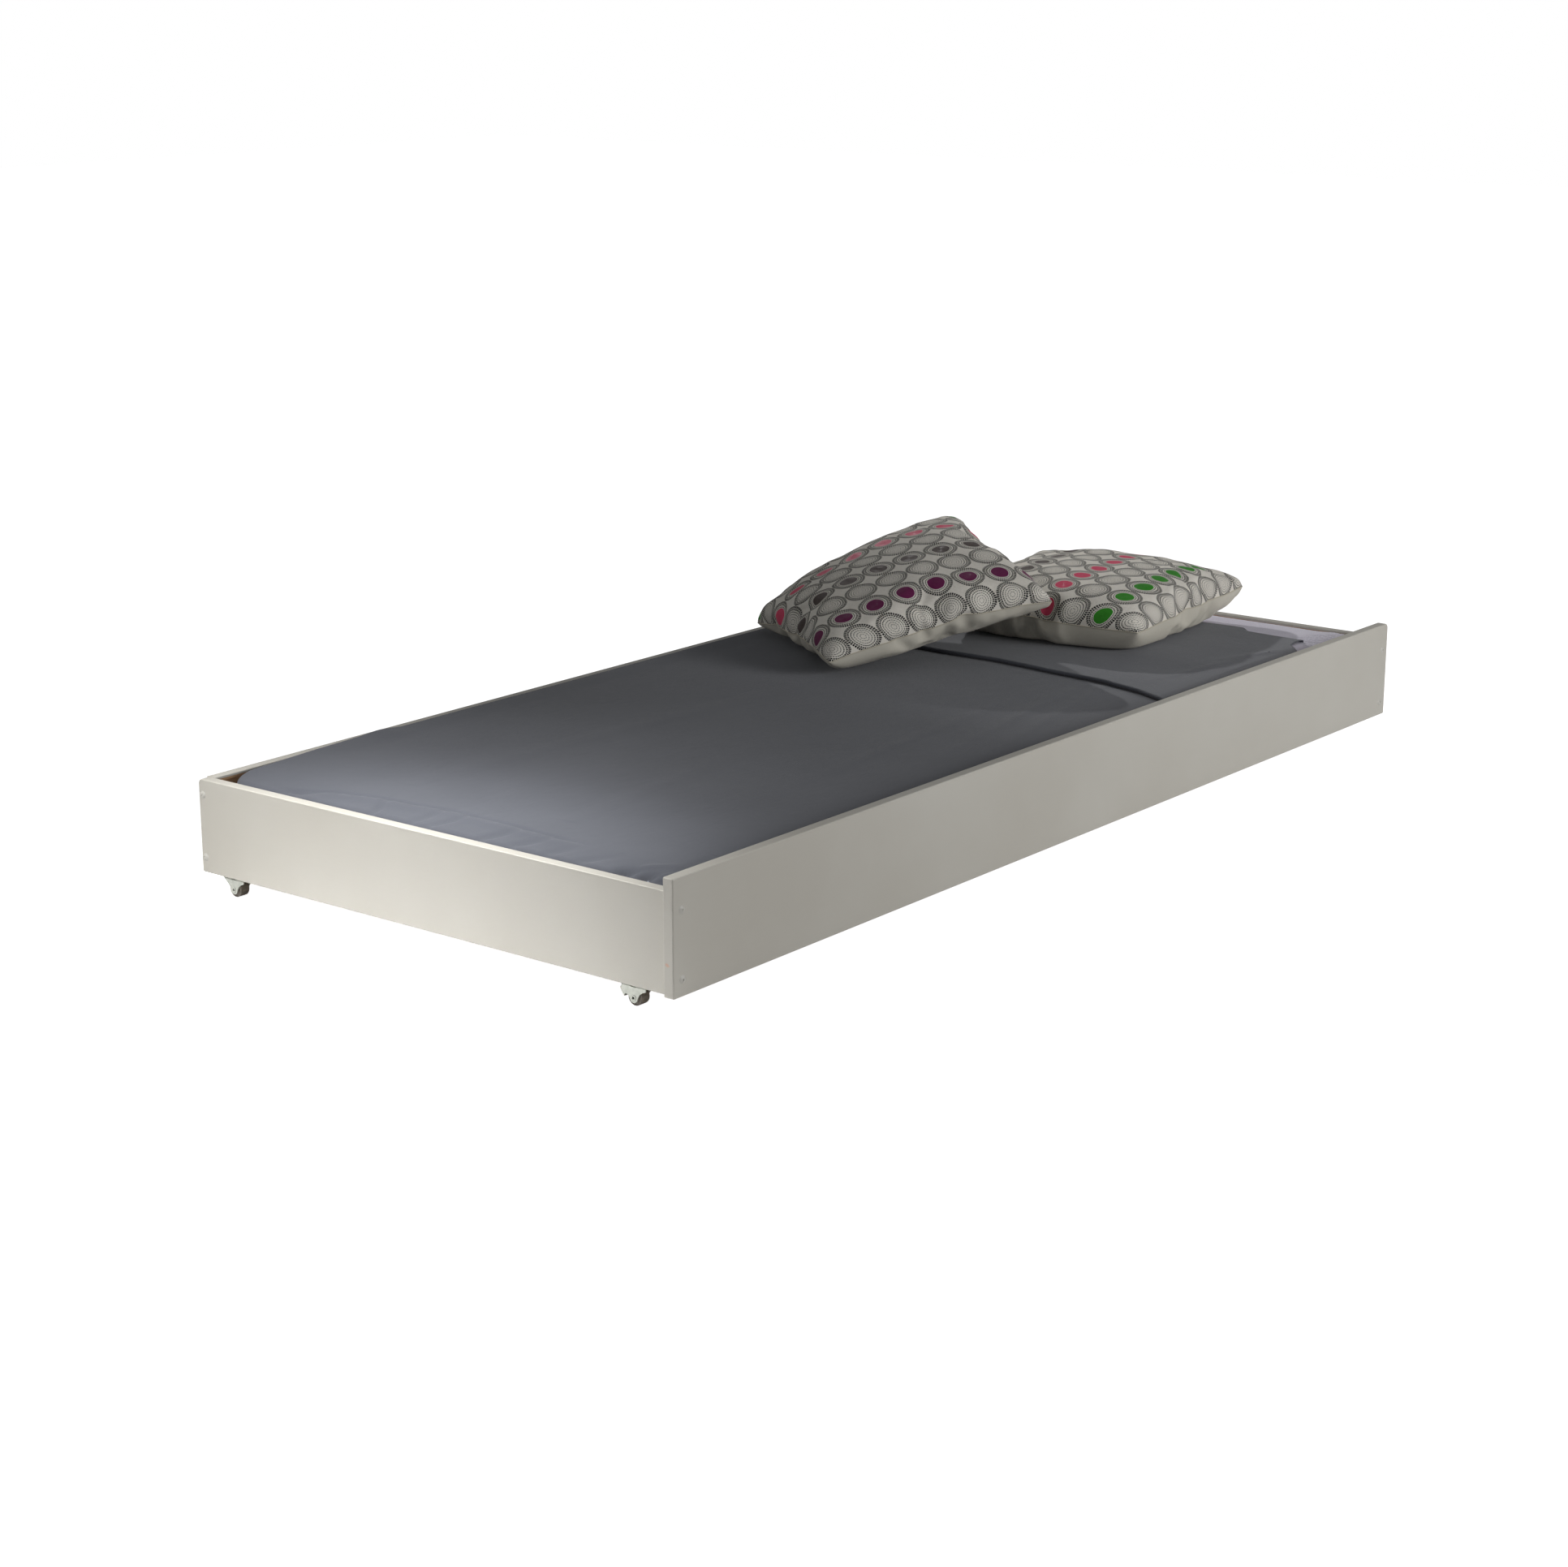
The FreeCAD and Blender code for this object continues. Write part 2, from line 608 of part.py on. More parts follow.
def castor_axle():
    """A hollow rivet, flared outside both sides of the fork."""
    half = BRACKET_WIDTH / 2
    length = BRACKET_WIDTH + 2 * AXLE_FLANGE
    start = V(-length / 2, 0, WHEEL_RADIUS)
    tube = Part.makeCylinder(AXLE_RADIUS, length, start, X_AXIS)
    near = Part.makeCylinder(AXLE_FLANGE_RADIUS, AXLE_FLANGE, start, X_AXIS)
    far = Part.makeCylinder(AXLE_FLANGE_RADIUS, AXLE_FLANGE, V(half, 0, WHEEL_RADIUS), X_AXIS)
    bore = Part.makeCylinder(AXLE_BORE_RADIUS, length, start, X_AXIS)
    return tube.fuse([near, far]).cut(bore).removeSplitter()


def brake_lever():
    """A folded lever: two cheeks on the pivot, joined by its top, its tread and its wheel pad."""
    half = LEVER_WIDTH / 2
    ring = Part.makeCylinder(BRAKE_RING_RADIUS, LEVER_WIDTH, V(-half, *BRAKE_PIVOT), X_AXIS)
    solid = polygon_plate(LEVER_OUTLINE, (-half, half)).fuse(ring)
    pocket = polygon_plate(LEVER_POCKET, (LEVER_CHEEK - half, half - LEVER_CHEEK))
    return solid.cut([pocket, cross_hole(BRAKE_PIN_RADIUS, BRAKE_PIVOT)]).removeSplitter()


def brake_pin():
    start = V(-BRACKET_WIDTH / 2, *BRAKE_PIVOT)
    return Part.makeCylinder(BRAKE_PIN_RADIUS, BRACKET_WIDTH, start, X_AXIS)


def castor_nodes():
    nodes = {}
    for name, side, y, braked in castors():
        pieces = {
            "castor_bracket": castor_bracket(side, braked),
            "castor_wheel": castor_wheel(),
            "castor_axle": castor_axle(),
        }
        if braked:
            pieces["brake_lever"] = brake_lever()
            pieces["brake_pin"] = brake_pin()
        for piece, shape in pieces.items():
            shape.translate(V(side * CASTOR_X, y, 0))
            nodes[f"{piece}_{name}"] = shape
    return nodes


# Mattress, bedding and pillows, as plain closed solids.


def rounded_block(grow, z_range, round_bottom):
    """The mattress's outline grown outwards, with rounded corners and a rounded top edge."""
    half_length = MATTRESS_LENGTH / 2 + grow
    half_width = MATTRESS_WIDTH / 2 + grow
    low, high = z_range
    face = rounded_face(
        (-half_length, half_length),
        (WELL_Y - half_width, WELL_Y + half_width),
        [MATTRESS_CORNER + grow] * 4,
        lambda u, v: V(u, v, low),
    )
    block = face.extrude(V(0, 0, high - low))

    def to_round(edge):
        at_top = edge.BoundBox.ZMin > high - NEAR
        at_bottom = edge.BoundBox.ZMax < low + NEAR
        return at_top or (at_bottom and round_bottom)

    return soften(block, MATTRESS_EDGE + grow, to_round)


def mattress():
    return rounded_block(0.0, (SLAT_TOP, MATTRESS_TOP), True)


def fitted_layer(inside, outside):
    """A cloth skin over the mattress's top and sides, between two distances from it."""
    skirt = SLAT_TOP + SKIRT_LIFT
    outer = rounded_block(outside, (skirt, MATTRESS_TOP + outside), False)
    inner = rounded_block(inside, (SLAT_TOP, MATTRESS_TOP + inside), False)
    return outer.cut(inner)


def under_sheet():
    return fitted_layer(LAYER_GAP, UNDER_SHEET_OFFSET)


def cover():
    layer = fitted_layer(UNDER_SHEET_OFFSET + LAYER_GAP, COVER_OFFSET)
    keep = box((-END_FACE, COVER_FAR_X), (FRONT_FACE, REAR_FACE), (0, FOLD_TOP))
    return layer.common(keep)


def folded_cover():
    """The end of the cover turned back on itself, as a second layer under the pillows."""
    bottom = COVER_TOP + LAYER_GAP
    face = rounded_face(
        (FOLD_NEAR_X, COVER_FAR_X),
        (WELL_Y - FOLD_HALF_WIDTH, WELL_Y + FOLD_HALF_WIDTH),
        [FOLD_CORNER] * 4,
        lambda u, v: V(u, v, bottom),
    )
    layer = face.extrude(V(0, 0, FOLD_THICKNESS))
    return soften(layer, FOLD_EDGE, lambda edge: edge.BoundBox.ZMin > FOLD_TOP - NEAR)


def pillow(thickness):
    """A square pillow: two lens-shaped bars that cross, so that it thins to a seam all round."""

    def bar(along, across):
        start = along * -PILLOW_SIDE
        rim = start + across * (PILLOW_SIDE / 2)
        ellipse = Part.Ellipse(rim, start + Z_AXIS * (thickness / 2), start)
        return Part.Face(Part.Wire(ellipse.toShape())).extrude(along * (2 * PILLOW_SIDE))

    return bar(X_AXIS, Y_AXIS).common(bar(Y_AXIS, X_AXIS))


def flat_pillow():
    x, y = FLAT_PILLOW_CENTRE
    shape = pillow(FLAT_PILLOW_THICKNESS)
    shape.rotate(V(0, 0, 0), Z_AXIS, FLAT_PILLOW_TURN)
    shape.translate(V(x, y, FOLD_TOP + LAYER_GAP + FLAT_PILLOW_THICKNESS / 2))
    return shape


def leaning_pillow():
    shape = pillow(LEANING_PILLOW_THICKNESS)
    shape.rotate(V(0, 0, 0), X_AXIS, LEANING_PILLOW_ROLL)
    shape.rotate(V(0, 0, 0), Y_AXIS, -LEANING_PILLOW_LEAN)
    shape.rotate(V(0, 0, 0), Z_AXIS, LEANING_PILLOW_TURN)
    shape.translate(V(*LEANING_PILLOW_CENTRE))
    return shape


def main():
    holes = all_holes()
    wooden = {
        "front_board": front_board(),
        "rear_board": rear_board(),
        "front_cleat": long_cleat(-1),
        "rear_cleat": long_cleat(1),
    }
    for name, side in SIDES.items():
        wooden[f"end_board_{name}"] = end_board(side)
        wooden[f"end_cleat_{name}"] = end_cleat(side)
    for number, x in enumerate(spread(SLAT_COUNT, SLAT_PITCH), start=1):
        wooden[f"slat_{number:02d}"] = slat(x)
    nodes = {name: drilled(shape, *holes) for name, shape in wooden.items()}
    nodes["frame_screws"] = group(frame_screw(), frame_screw_places())
    nodes["screw_caps"] = group(screw_cap(), frame_screw_places())
    nodes["dowels"] = group(dowel(), dowel_places())
    nodes["cleat_screws"] = group(wood_screw(CLEAT_SCREW_LENGTH), cleat_screw_places())
    nodes["slat_screws"] = group(wood_screw(SLAT_SCREW_LENGTH), slat_screw_places())
    nodes["castor_screws"] = group(castor_screw(), castor_screw_places())
    nodes.update(castor_nodes())
    nodes["mattress"] = mattress()
    nodes["under_sheet"] = under_sheet()
    nodes["cover"] = cover()
    nodes["folded_cover"] = folded_cover()
    nodes["flat_pillow"] = flat_pillow()
    nodes["leaning_pillow"] = leaning_pillow()
    os.makedirs("parts", exist_ok=True)
    for name, shape in nodes.items():
        shape.exportStep(os.path.join("parts", name + ".step"))


main()
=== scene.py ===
"""Looks of the trundle bed: bedding, pillows, materials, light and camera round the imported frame."""

import math

import bpy
import numpy as np
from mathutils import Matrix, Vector, noise
from mathutils.bvhtree import BVHTree


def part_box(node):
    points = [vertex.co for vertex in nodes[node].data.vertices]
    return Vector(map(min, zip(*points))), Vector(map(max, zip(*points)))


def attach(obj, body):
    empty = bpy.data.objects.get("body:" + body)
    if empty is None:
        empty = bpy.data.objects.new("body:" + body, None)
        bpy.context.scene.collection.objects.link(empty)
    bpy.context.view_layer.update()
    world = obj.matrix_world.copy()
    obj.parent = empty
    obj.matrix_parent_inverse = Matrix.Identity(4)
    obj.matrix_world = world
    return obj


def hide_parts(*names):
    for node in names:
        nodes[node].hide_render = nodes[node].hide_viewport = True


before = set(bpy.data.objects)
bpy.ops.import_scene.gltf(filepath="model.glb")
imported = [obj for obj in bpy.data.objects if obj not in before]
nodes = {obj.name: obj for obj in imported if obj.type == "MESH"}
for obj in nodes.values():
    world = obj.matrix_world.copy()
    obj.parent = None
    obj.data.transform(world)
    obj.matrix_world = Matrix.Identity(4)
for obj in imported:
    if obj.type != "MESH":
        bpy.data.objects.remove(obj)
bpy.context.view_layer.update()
scene = bpy.context.scene

MM = 0.001

# ---- the bed as the CAD gives it
MATTRESS_LOW, MATTRESS_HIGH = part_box("mattress")
BED_MIDDLE_Y = (MATTRESS_LOW.y + MATTRESS_HIGH.y) / 2
BED_TOP = MATTRESS_HIGH.z
BED_BOTTOM = MATTRESS_LOW.z
BED_HALF_X = MATTRESS_HIGH.x
BED_HALF_Y = MATTRESS_HIGH.y - BED_MIDDLE_Y
RAIL_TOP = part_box("rear_board")[1].z
RAIL_INSIDE_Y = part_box("rear_board")[0].y
FRONT_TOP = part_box("front_board")[1].z
FRONT_INSIDE_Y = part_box("front_board")[1].y
END_INSIDE_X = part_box("end_board_right")[0].x

EDGE_ROUND = 0.010
CORNER_ROUND = 0.058
CORE_X = BED_HALF_X - EDGE_ROUND
CORE_Y = BED_HALF_Y - EDGE_ROUND
CORE_CORNER = CORNER_ROUND - EDGE_ROUND
CROWN = 0.0015

# ---- layers of bedding
UNDER_LIFT = 0.0012
COVER_LIFT = 0.0035
FOLD_LIFT = 0.0112
UNDER_SHEET_THICKNESS = 0.0006
COVER_THICKNESS = 0.0009
SKIRT = 0.088
SKIRT_SPARE = 0.25
HEM_TUCK = 0.035


def smooth(value, start, end):
    """0 at start, 1 at end, eased between."""
    t = min(max((value - start) / (end - start), 0.0), 1.0)
    return t * t * (3 - 2 * t)


def ramp(value, form):
    """Eases from 0 up to the form's height, between its start and its end."""
    start, end, height = form
    return height * smooth(value, start, end)


def through(points, value):
    """Straight runs through (value, result) points, held flat outside them."""
    return float(np.interp(value, [p[0] for p in points], [p[1] for p in points]))


def bell(value, width):
    return math.exp(-((value / width) ** 2))


def ripple(x, y, scale_x, scale_y, seed):
    """Smooth random unevenness of about -1 to 1."""
    return noise.noise(Vector((x * scale_x, y * scale_y, seed)))


# ---- form of the bed's top
# start, end and height of each ramp
NEAR_BEVEL = (0.925, 1.000, 0.0050)
FRONT_BEVEL = (0.400, 0.458, 0.0020)
FAR_BEVEL = (0.965, 0.995, 0.0040)
FRONT_BEVEL_FROM = (0.80, 0.95)

# height, scale along the bed, scale across it, seed
BROAD_WAVES = (0.0011, 2.3, 3.1, 4.0)
SMALL_WAVES = (0.0004, 9.0, 6.0, 8.0)

# the long crease across the near end: its line, where it fades, and its ridge and hollow
NEAR_CREASE = [(-0.20, -0.934), (-0.09, -0.927), (0.03, -0.924), (0.10, -0.933),
               (0.17, -0.937), (0.25, -0.954), (0.33, -0.986)]
CREASE_FADES_IN = (-0.26, -0.16)
CREASE_FADES_OUT = (0.30, 0.36)
# height, offset, width
CREASE_RIDGE = (0.0026, 0.014, 0.012)
CREASE_HOLLOW = (0.0030, -0.001, 0.005)

PUCKERS_END = -0.86
# how much deeper the tucks are in the layers under the cover
TUCK_DEEPER = 0.30
# place x, y, length, width, turn in degrees, height
PUCKERS = [
    (-0.982, 0.300, 0.030, 0.010, -75, -0.0060),
    (-0.975, 0.140, 0.040, 0.007, 20, -0.0030),
    (-0.970, 0.050, 0.045, 0.007, -12, -0.0026),
    (-0.968, 0.010, 0.045, 0.006, -25, -0.0034),
    (-0.978, -0.091, 0.045, 0.008, -30, -0.0044),
    (-0.986, -0.146, 0.050, 0.008, -38, -0.0040),
    (-0.985, -0.215, 0.045, 0.010, -30, -0.0026),
    (-0.986, -0.275, 0.040, 0.009, -40, -0.0034),
    (-0.990, -0.350, 0.026, 0.011, -40, -0.0170),
    (-0.966, -0.366, 0.040, 0.008, -48, 0.0042),
    (-0.990, -0.386, 0.026, 0.009, -52, -0.0190),
    (-0.978, -0.402, 0.032, 0.007, -48, 0.0042),
    (-0.993, -0.417, 0.024, 0.009, -55, -0.0170),
    (-0.930, -0.425, 0.060, 0.012, 8, -0.0020),
]
# the same, for long faint wrinkles on the open sheet
LONG_WRINKLES = [
    (-0.700, -0.120, 0.35, 0.020, 6, 0.0008),
    (-0.450, 0.160, 0.40, 0.024, -5, 0.0008),
    (-0.150, -0.250, 0.30, 0.014, 4, 0.0009),
    (0.080, -0.300, 0.26, 0.012, 9, 0.0010),
    (0.130, -0.340, 0.22, 0.010, 12, 0.0010),
    (0.180, -0.270, 0.20, 0.010, 16, 0.0008),
    (0.560, -0.380, 0.16, 0.010, -8, 0.0011),
    (0.700, -0.400, 0.10, 0.009, -20, 0.0012),
]
REAR_OVERHANG = [(-0.93, 0.0), (-0.88, 0.002), (-0.80, 0.006), (-0.70, 0.010), (-0.655, 0.013),
                 (-0.610, 0.006), (-0.50, 0.006), (0.30, 0.005), (0.80, 0.002)]
REAR_RISE = [(-0.97, -0.002), (-0.88, 0.000), (-0.80, 0.0015), (-0.70, 0.0030), (-0.655, 0.0048),
             (-0.610, 0.0020), (-0.50, 0.0020), (0.40, 0.0018), (0.90, 0.0)]
REAR_RISE_FROM = (0.395, 0.455)


def streak(x, y, form):
    """One long soft ridge or hollow."""
    place_x, place_y, length, width, turn, height = form
    angle = math.radians(turn)
    dx, dy = x - place_x, y - place_y
    along = dx * math.cos(angle) + dy * math.sin(angle)
    across = -dx * math.sin(angle) + dy * math.cos(angle)
    return height * bell(along, length) * bell(across, width)


def hollow(x, y):
    """Depth, below zero, of the tucks that the cover pulls into the near end."""
    return min(sum(streak(x, y, form) for form in PUCKERS), 0.0) if x < PUCKERS_END else 0.0


def mattress_height(x, y):
    """Height of the mattress's top, lower towards both ends, and hollow under the cover's deep folds."""
    crown = CROWN * (1 - (x / BED_HALF_X) ** 2) * (1 - ((y - BED_MIDDLE_Y) / BED_HALF_Y) ** 2)
    near_bevel = ramp(-x, NEAR_BEVEL)
    front_bevel = ramp(-y, FRONT_BEVEL) * smooth(-x, *FRONT_BEVEL_FROM)
    far_bevel = ramp(x, FAR_BEVEL)
    return BED_TOP + crown - near_bevel - front_bevel - far_bevel + hollow(x, y)


def cloth_relief(x, y):
    """What the cover's own folds add to the mattress's top."""
    relief = sum(height * ripple(x, y, *scales) for height, *scales in (BROAD_WAVES, SMALL_WAVES))
    relief += through(REAR_RISE, x) * smooth(y, *REAR_RISE_FROM)
    crease = x - through(NEAR_CREASE, y)
    shown = smooth(y, *CREASE_FADES_IN) * (1 - smooth(y, *CREASE_FADES_OUT))
    ridge, hollowed = (height * bell(crease + offset, width)
                       for height, offset, width in (CREASE_RIDGE, CREASE_HOLLOW))
    relief += shown * (ridge - hollowed)
    if x < PUCKERS_END:
        relief += max(sum(streak(x, y, form) for form in PUCKERS), 0.0)
    else:
        relief += sum(streak(x, y, form) for form in LONG_WRINKLES)
    return relief


def over_bed(a, b, lift, relief):
    """Where flat cloth point (a, b) comes to lie: lift above the mattress, or tucked down its sides."""
    b -= BED_MIDDLE_Y
    corner_x = abs(a) - (CORE_X - CORE_CORNER)
    corner_y = abs(b) - (CORE_Y - CORE_CORNER)
    sign_x, sign_y = math.copysign(1, a), math.copysign(1, b)
    if corner_x > 0 and corner_y > 0:
        reach = math.hypot(corner_x, corner_y)
        out = Vector((corner_x / reach, corner_y / reach))
        past = reach - CORE_CORNER
        edge = Vector((CORE_X - CORE_CORNER, CORE_Y - CORE_CORNER)) + out * CORE_CORNER
    elif abs(a) - CORE_X > abs(b) - CORE_Y:
        out, past, edge = Vector((1, 0)), abs(a) - CORE_X, Vector((CORE_X, abs(b)))
    else:
        out, past, edge = Vector((0, 1)), abs(b) - CORE_Y, Vector((abs(a), CORE_Y))
    deeper = TUCK_DEEPER * max(1 - lift / COVER_LIFT, 0.0)
    if past <= 0:
        x, y = a, b + BED_MIDDLE_Y
        return Vector((x, y, mattress_height(x, y) + deeper * hollow(x, y) + lift + relief(x, y)))
    bend = EDGE_ROUND + lift
    turn = min(past / bend, math.pi / 2)
    below = past - bend * math.pi / 2
    side = edge + out * bend * math.sin(turn)
    x, y = side.x * sign_x, side.y * sign_y + BED_MIDDLE_Y
    edge_x, edge_y = edge.x * sign_x, edge.y * sign_y + BED_MIDDLE_Y
    height = mattress_height(edge_x, edge_y) + deeper * hollow(edge_x, edge_y)
    height += relief(edge_x, edge_y) * (1 - turn / (math.pi / 2))
    z = height - EDGE_ROUND + bend * math.cos(turn)
    if below > 0:
        z -= below if below < SKIRT else SKIRT + SKIRT_SPARE * (below - SKIRT)
    return Vector((x, y, z))


# ---- meshes
def steps(*runs):
    """Values along runs of (start, end, step), each run's end shared with the next run's start."""
    values = [runs[0][0]]
    for start, end, step in runs:
        count = max(1, round(abs(end - start) / step))
        values += [start + (end - start) * i / count for i in range(1, count + 1)]
    return values


def grid_faces(rows, columns):
    return [(i * columns + j, (i + 1) * columns + j, (i + 1) * columns + j + 1, i * columns + j + 1)
            for i in range(rows - 1) for j in range(columns - 1)]


def new_piece(name, vertices, faces, flat=None):
    """A smooth-shaded mesh object; flat holds each point's place on the flat cloth."""
    mesh = bpy.data.meshes.new(name)
    mesh.from_pydata([tuple(v) for v in vertices], [], faces)
    if flat is not None:
        layer = mesh.attributes.new("flat", "FLOAT_VECTOR", "POINT")
        layer.data.foreach_set("vector", np.array(flat, np.float32).ravel())
    mesh.polygons.foreach_set("use_smooth", [True] * len(mesh.polygons))
    mesh.update()
    piece = bpy.data.objects.new(name, mesh)
    scene.collection.objects.link(piece)
    return piece


def settle(piece):
    """Applies the piece's modifiers."""
    bpy.context.view_layer.update()
    graph = bpy.context.evaluated_depsgraph_get()
    mesh = bpy.data.meshes.new_from_object(piece.evaluated_get(graph), preserve_all_data_layers=True,
                                           depsgraph=graph)
    old = piece.data
    piece.modifiers.clear()
    piece.data = mesh
    bpy.data.meshes.remove(old)
    mesh.name = piece.name
    return piece


def thicken(piece, thickness):
    solid = piece.modifiers.new("Solid", "SOLIDIFY")
    solid.thickness = thickness
    solid.offset = 0
    return settle(piece)


def refine(piece, levels):
    more = piece.modifiers.new("Smooth", "SUBSURF")
    more.levels = levels
    more.render_levels = levels
    return settle(piece)


def tube(name, line, radius, sides=6):
    """A closed loop of cord through the points."""
    count = len(line)
    vertices, faces = [], []
    for i in range(count):
        ahead = (line[(i + 1) % count] - line[i - 1]).normalized()
        side = ahead.cross(Vector((0, 0, 1))).normalized()
        up = side.cross(ahead)
        for k in range(sides):
            angle = 2 * math.pi * k / sides
            vertices.append(line[i] + (side * math.cos(angle) + up * math.sin(angle)) * radius)
    for i in range(count):
        for k in range(sides):
            j, m = (i + 1) % count, (k + 1) % sides
            faces.append((i * sides + k, j * sides + k, j * sides + m, i * sides + m))
    return new_piece(name, vertices, faces)


# ---- shader building
class Look:
    """A node material under construction."""

    def __init__(self, name, **sockets):
        self.material = bpy.data.materials.new(name)
        self.material.use_nodes = True
        self.tree = self.material.node_tree
        self.shader = self.tree.nodes["Principled BSDF"]
        for key, value in sockets.items():
            self.shader.inputs[key.replace("_", " ")].default_value = value

    def node(self, kind, **settings):
        made = self.tree.nodes.new("ShaderNode" + kind)
        for key, value in settings.items():
            setattr(made, key, value)
        return made

    def feed(self, socket, value):
        if isinstance(value, bpy.types.NodeSocket):
            self.tree.links.new(value, socket)
        elif socket.type == "RGBA" and len(value) == 3:
            socket.default_value = (*value, 1)
        else:
            socket.default_value = value

    def place(self):
        return self.node("TexCoord").outputs["Object"]

    def flat(self):
        return self.node("Attribute", attribute_name="flat").outputs["Vector"]

    def split(self, vector):
        apart = self.node("SeparateXYZ")
        self.feed(apart.inputs[0], vector)
        return apart.outputs

    def math(self, operation, *values):
        made = self.node("Math", operation=operation)
        for socket, value in zip(made.inputs, values):
            self.feed(socket, value)
        return made.outputs[0]

    def scaled(self, vector, x, y, z):
        made = self.node("VectorMath", operation="MULTIPLY")
        self.feed(made.inputs[0], vector)
        made.inputs[1].default_value = (x, y, z)
        return made.outputs[0]

    def noise(self, vector, scale, detail=3.0, roughness=0.5, distortion=0.0):
        made = self.node("TexNoise")
        self.feed(made.inputs["Vector"], vector)
        made.inputs["Scale"].default_value = scale
        made.inputs["Detail"].default_value = detail
        made.inputs["Roughness"].default_value = roughness
        made.inputs["Distortion"].default_value = distortion
        return made.outputs["Fac"]

    def remap(self, value, low, high, to_low=0.0, to_high=1.0):
        made = self.node("MapRange")
        for socket, number in zip(made.inputs, (value, low, high, to_low, to_high)):
            self.feed(socket, number)
        return made.outputs[0]

    def mix(self, factor, first, second):
        made = self.node("Mix", data_type="RGBA")
        self.feed(made.inputs[0], factor)
        self.feed(made.inputs[6], first)
        self.feed(made.inputs[7], second)
        return made.outputs[2]

    def both(self, *masks):
        result = masks[0]
        for mask in masks[1:]:
            result = self.math("MULTIPLY", result, mask)
        return result

    def above(self, value, limit):
        return self.math("GREATER_THAN", value, limit)

    def below(self, value, limit):
        return self.math("LESS_THAN", value, limit)

    def wave(self, value, pitch):
        return self.math("SINE", self.math("MULTIPLY", value, 2 * math.pi / pitch))

    def bump(self, height, distance, strength=1.0):
        made = self.node("Bump")
        made.inputs["Strength"].default_value = strength
        made.inputs["Distance"].default_value = distance
        self.feed(made.inputs["Height"], height)
        self.feed(self.shader.inputs["Normal"], made.outputs[0])

    def paint(self, colour):
        self.feed(self.shader.inputs["Base Color"], colour)

    def rough(self, value):
        self.feed(self.shader.inputs["Roughness"], value)


def linear(red, green, blue):
    """A colour given in 0-255 display values."""
    def one(value):
        value /= 255
        return value / 12.92 if value <= 0.04045 else ((value + 0.055) / 1.055) ** 2.4
    return (one(red), one(green), one(blue))


# ---- wood
LENGTHWAYS = {"x": (1.0, 24.0, 24.0), "y": (24.0, 1.0, 24.0)}
KNOT_SPACING = {"x": (3.2, 9.0, 9.0), "y": (9.0, 3.2, 9.0)}
PINE_PALE = linear(214, 174, 130)
PINE_WARM = linear(190, 142, 98)
PINE_STREAK = linear(160, 108, 70)
PINE_KNOT = linear(120, 68, 34)
PAINT_LOW = linear(205, 201, 191)
PAINT_HIGH = linear(211, 208, 199)
PAINT_STREAK = linear(182, 172, 156)
PAINT_SPECK = linear(226, 224, 218)
PAINT_CHIPPED = linear(222, 182, 158)
# the chip on the front board's near end, and its size
CHIP = (-1.0330, -0.4708, 0.0780)
CHIP_RADIUS = 0.0084
CHIP_RAGGED = 0.012
# the paint ends this far below a board's top inside, this unevenly
PAINT_LINE = 0.0025
PAINT_LINE_WAVER = 0.003
SKIN = 0.0003


def grain(look, direction):
    """Streaks along the board, and its slow bands of growth."""
    stretched = look.scaled(look.place(), *LENGTHWAYS[direction])
    fine = look.noise(stretched, 18.0, 5.0, 0.65)
    bands = look.noise(stretched, 2.2, 2.0, 0.5, 0.6)
    return fine, bands


def pine_colour(look, direction):
    """Planed pine with growth bands, streaks and a few knots; also gives the fine grain."""
    fine, bands = grain(look, direction)
    ring = look.wave(bands, 0.11)
    ring = look.remap(ring, -1.0, 1.0)
    pale = look.mix(ring, PINE_PALE, PINE_WARM)
    streaked = look.mix(look.remap(fine, 0.45, 0.75), pale, PINE_STREAK)
    cells = look.node("TexVoronoi")
    look.feed(cells.inputs["Vector"], look.scaled(look.place(), *KNOT_SPACING[direction]))
    cells.inputs["Scale"].default_value = 1.0
    knot = look.remap(cells.outputs["Distance"], 0.05, 0.10, 1.0, 0.0)
    return look.mix(knot, streaked, PINE_KNOT), fine


def bare_pine(direction):
    """Untreated pine for cleats, slats and dowels."""
    look = Look(f"bare_pine_{direction}")
    colour, fine = pine_colour(look, direction)
    look.paint(colour)
    look.rough(look.remap(fine, 0.3, 0.7, 0.55, 0.72))
    look.bump(fine, 0.0004, 0.5)
    return look.material


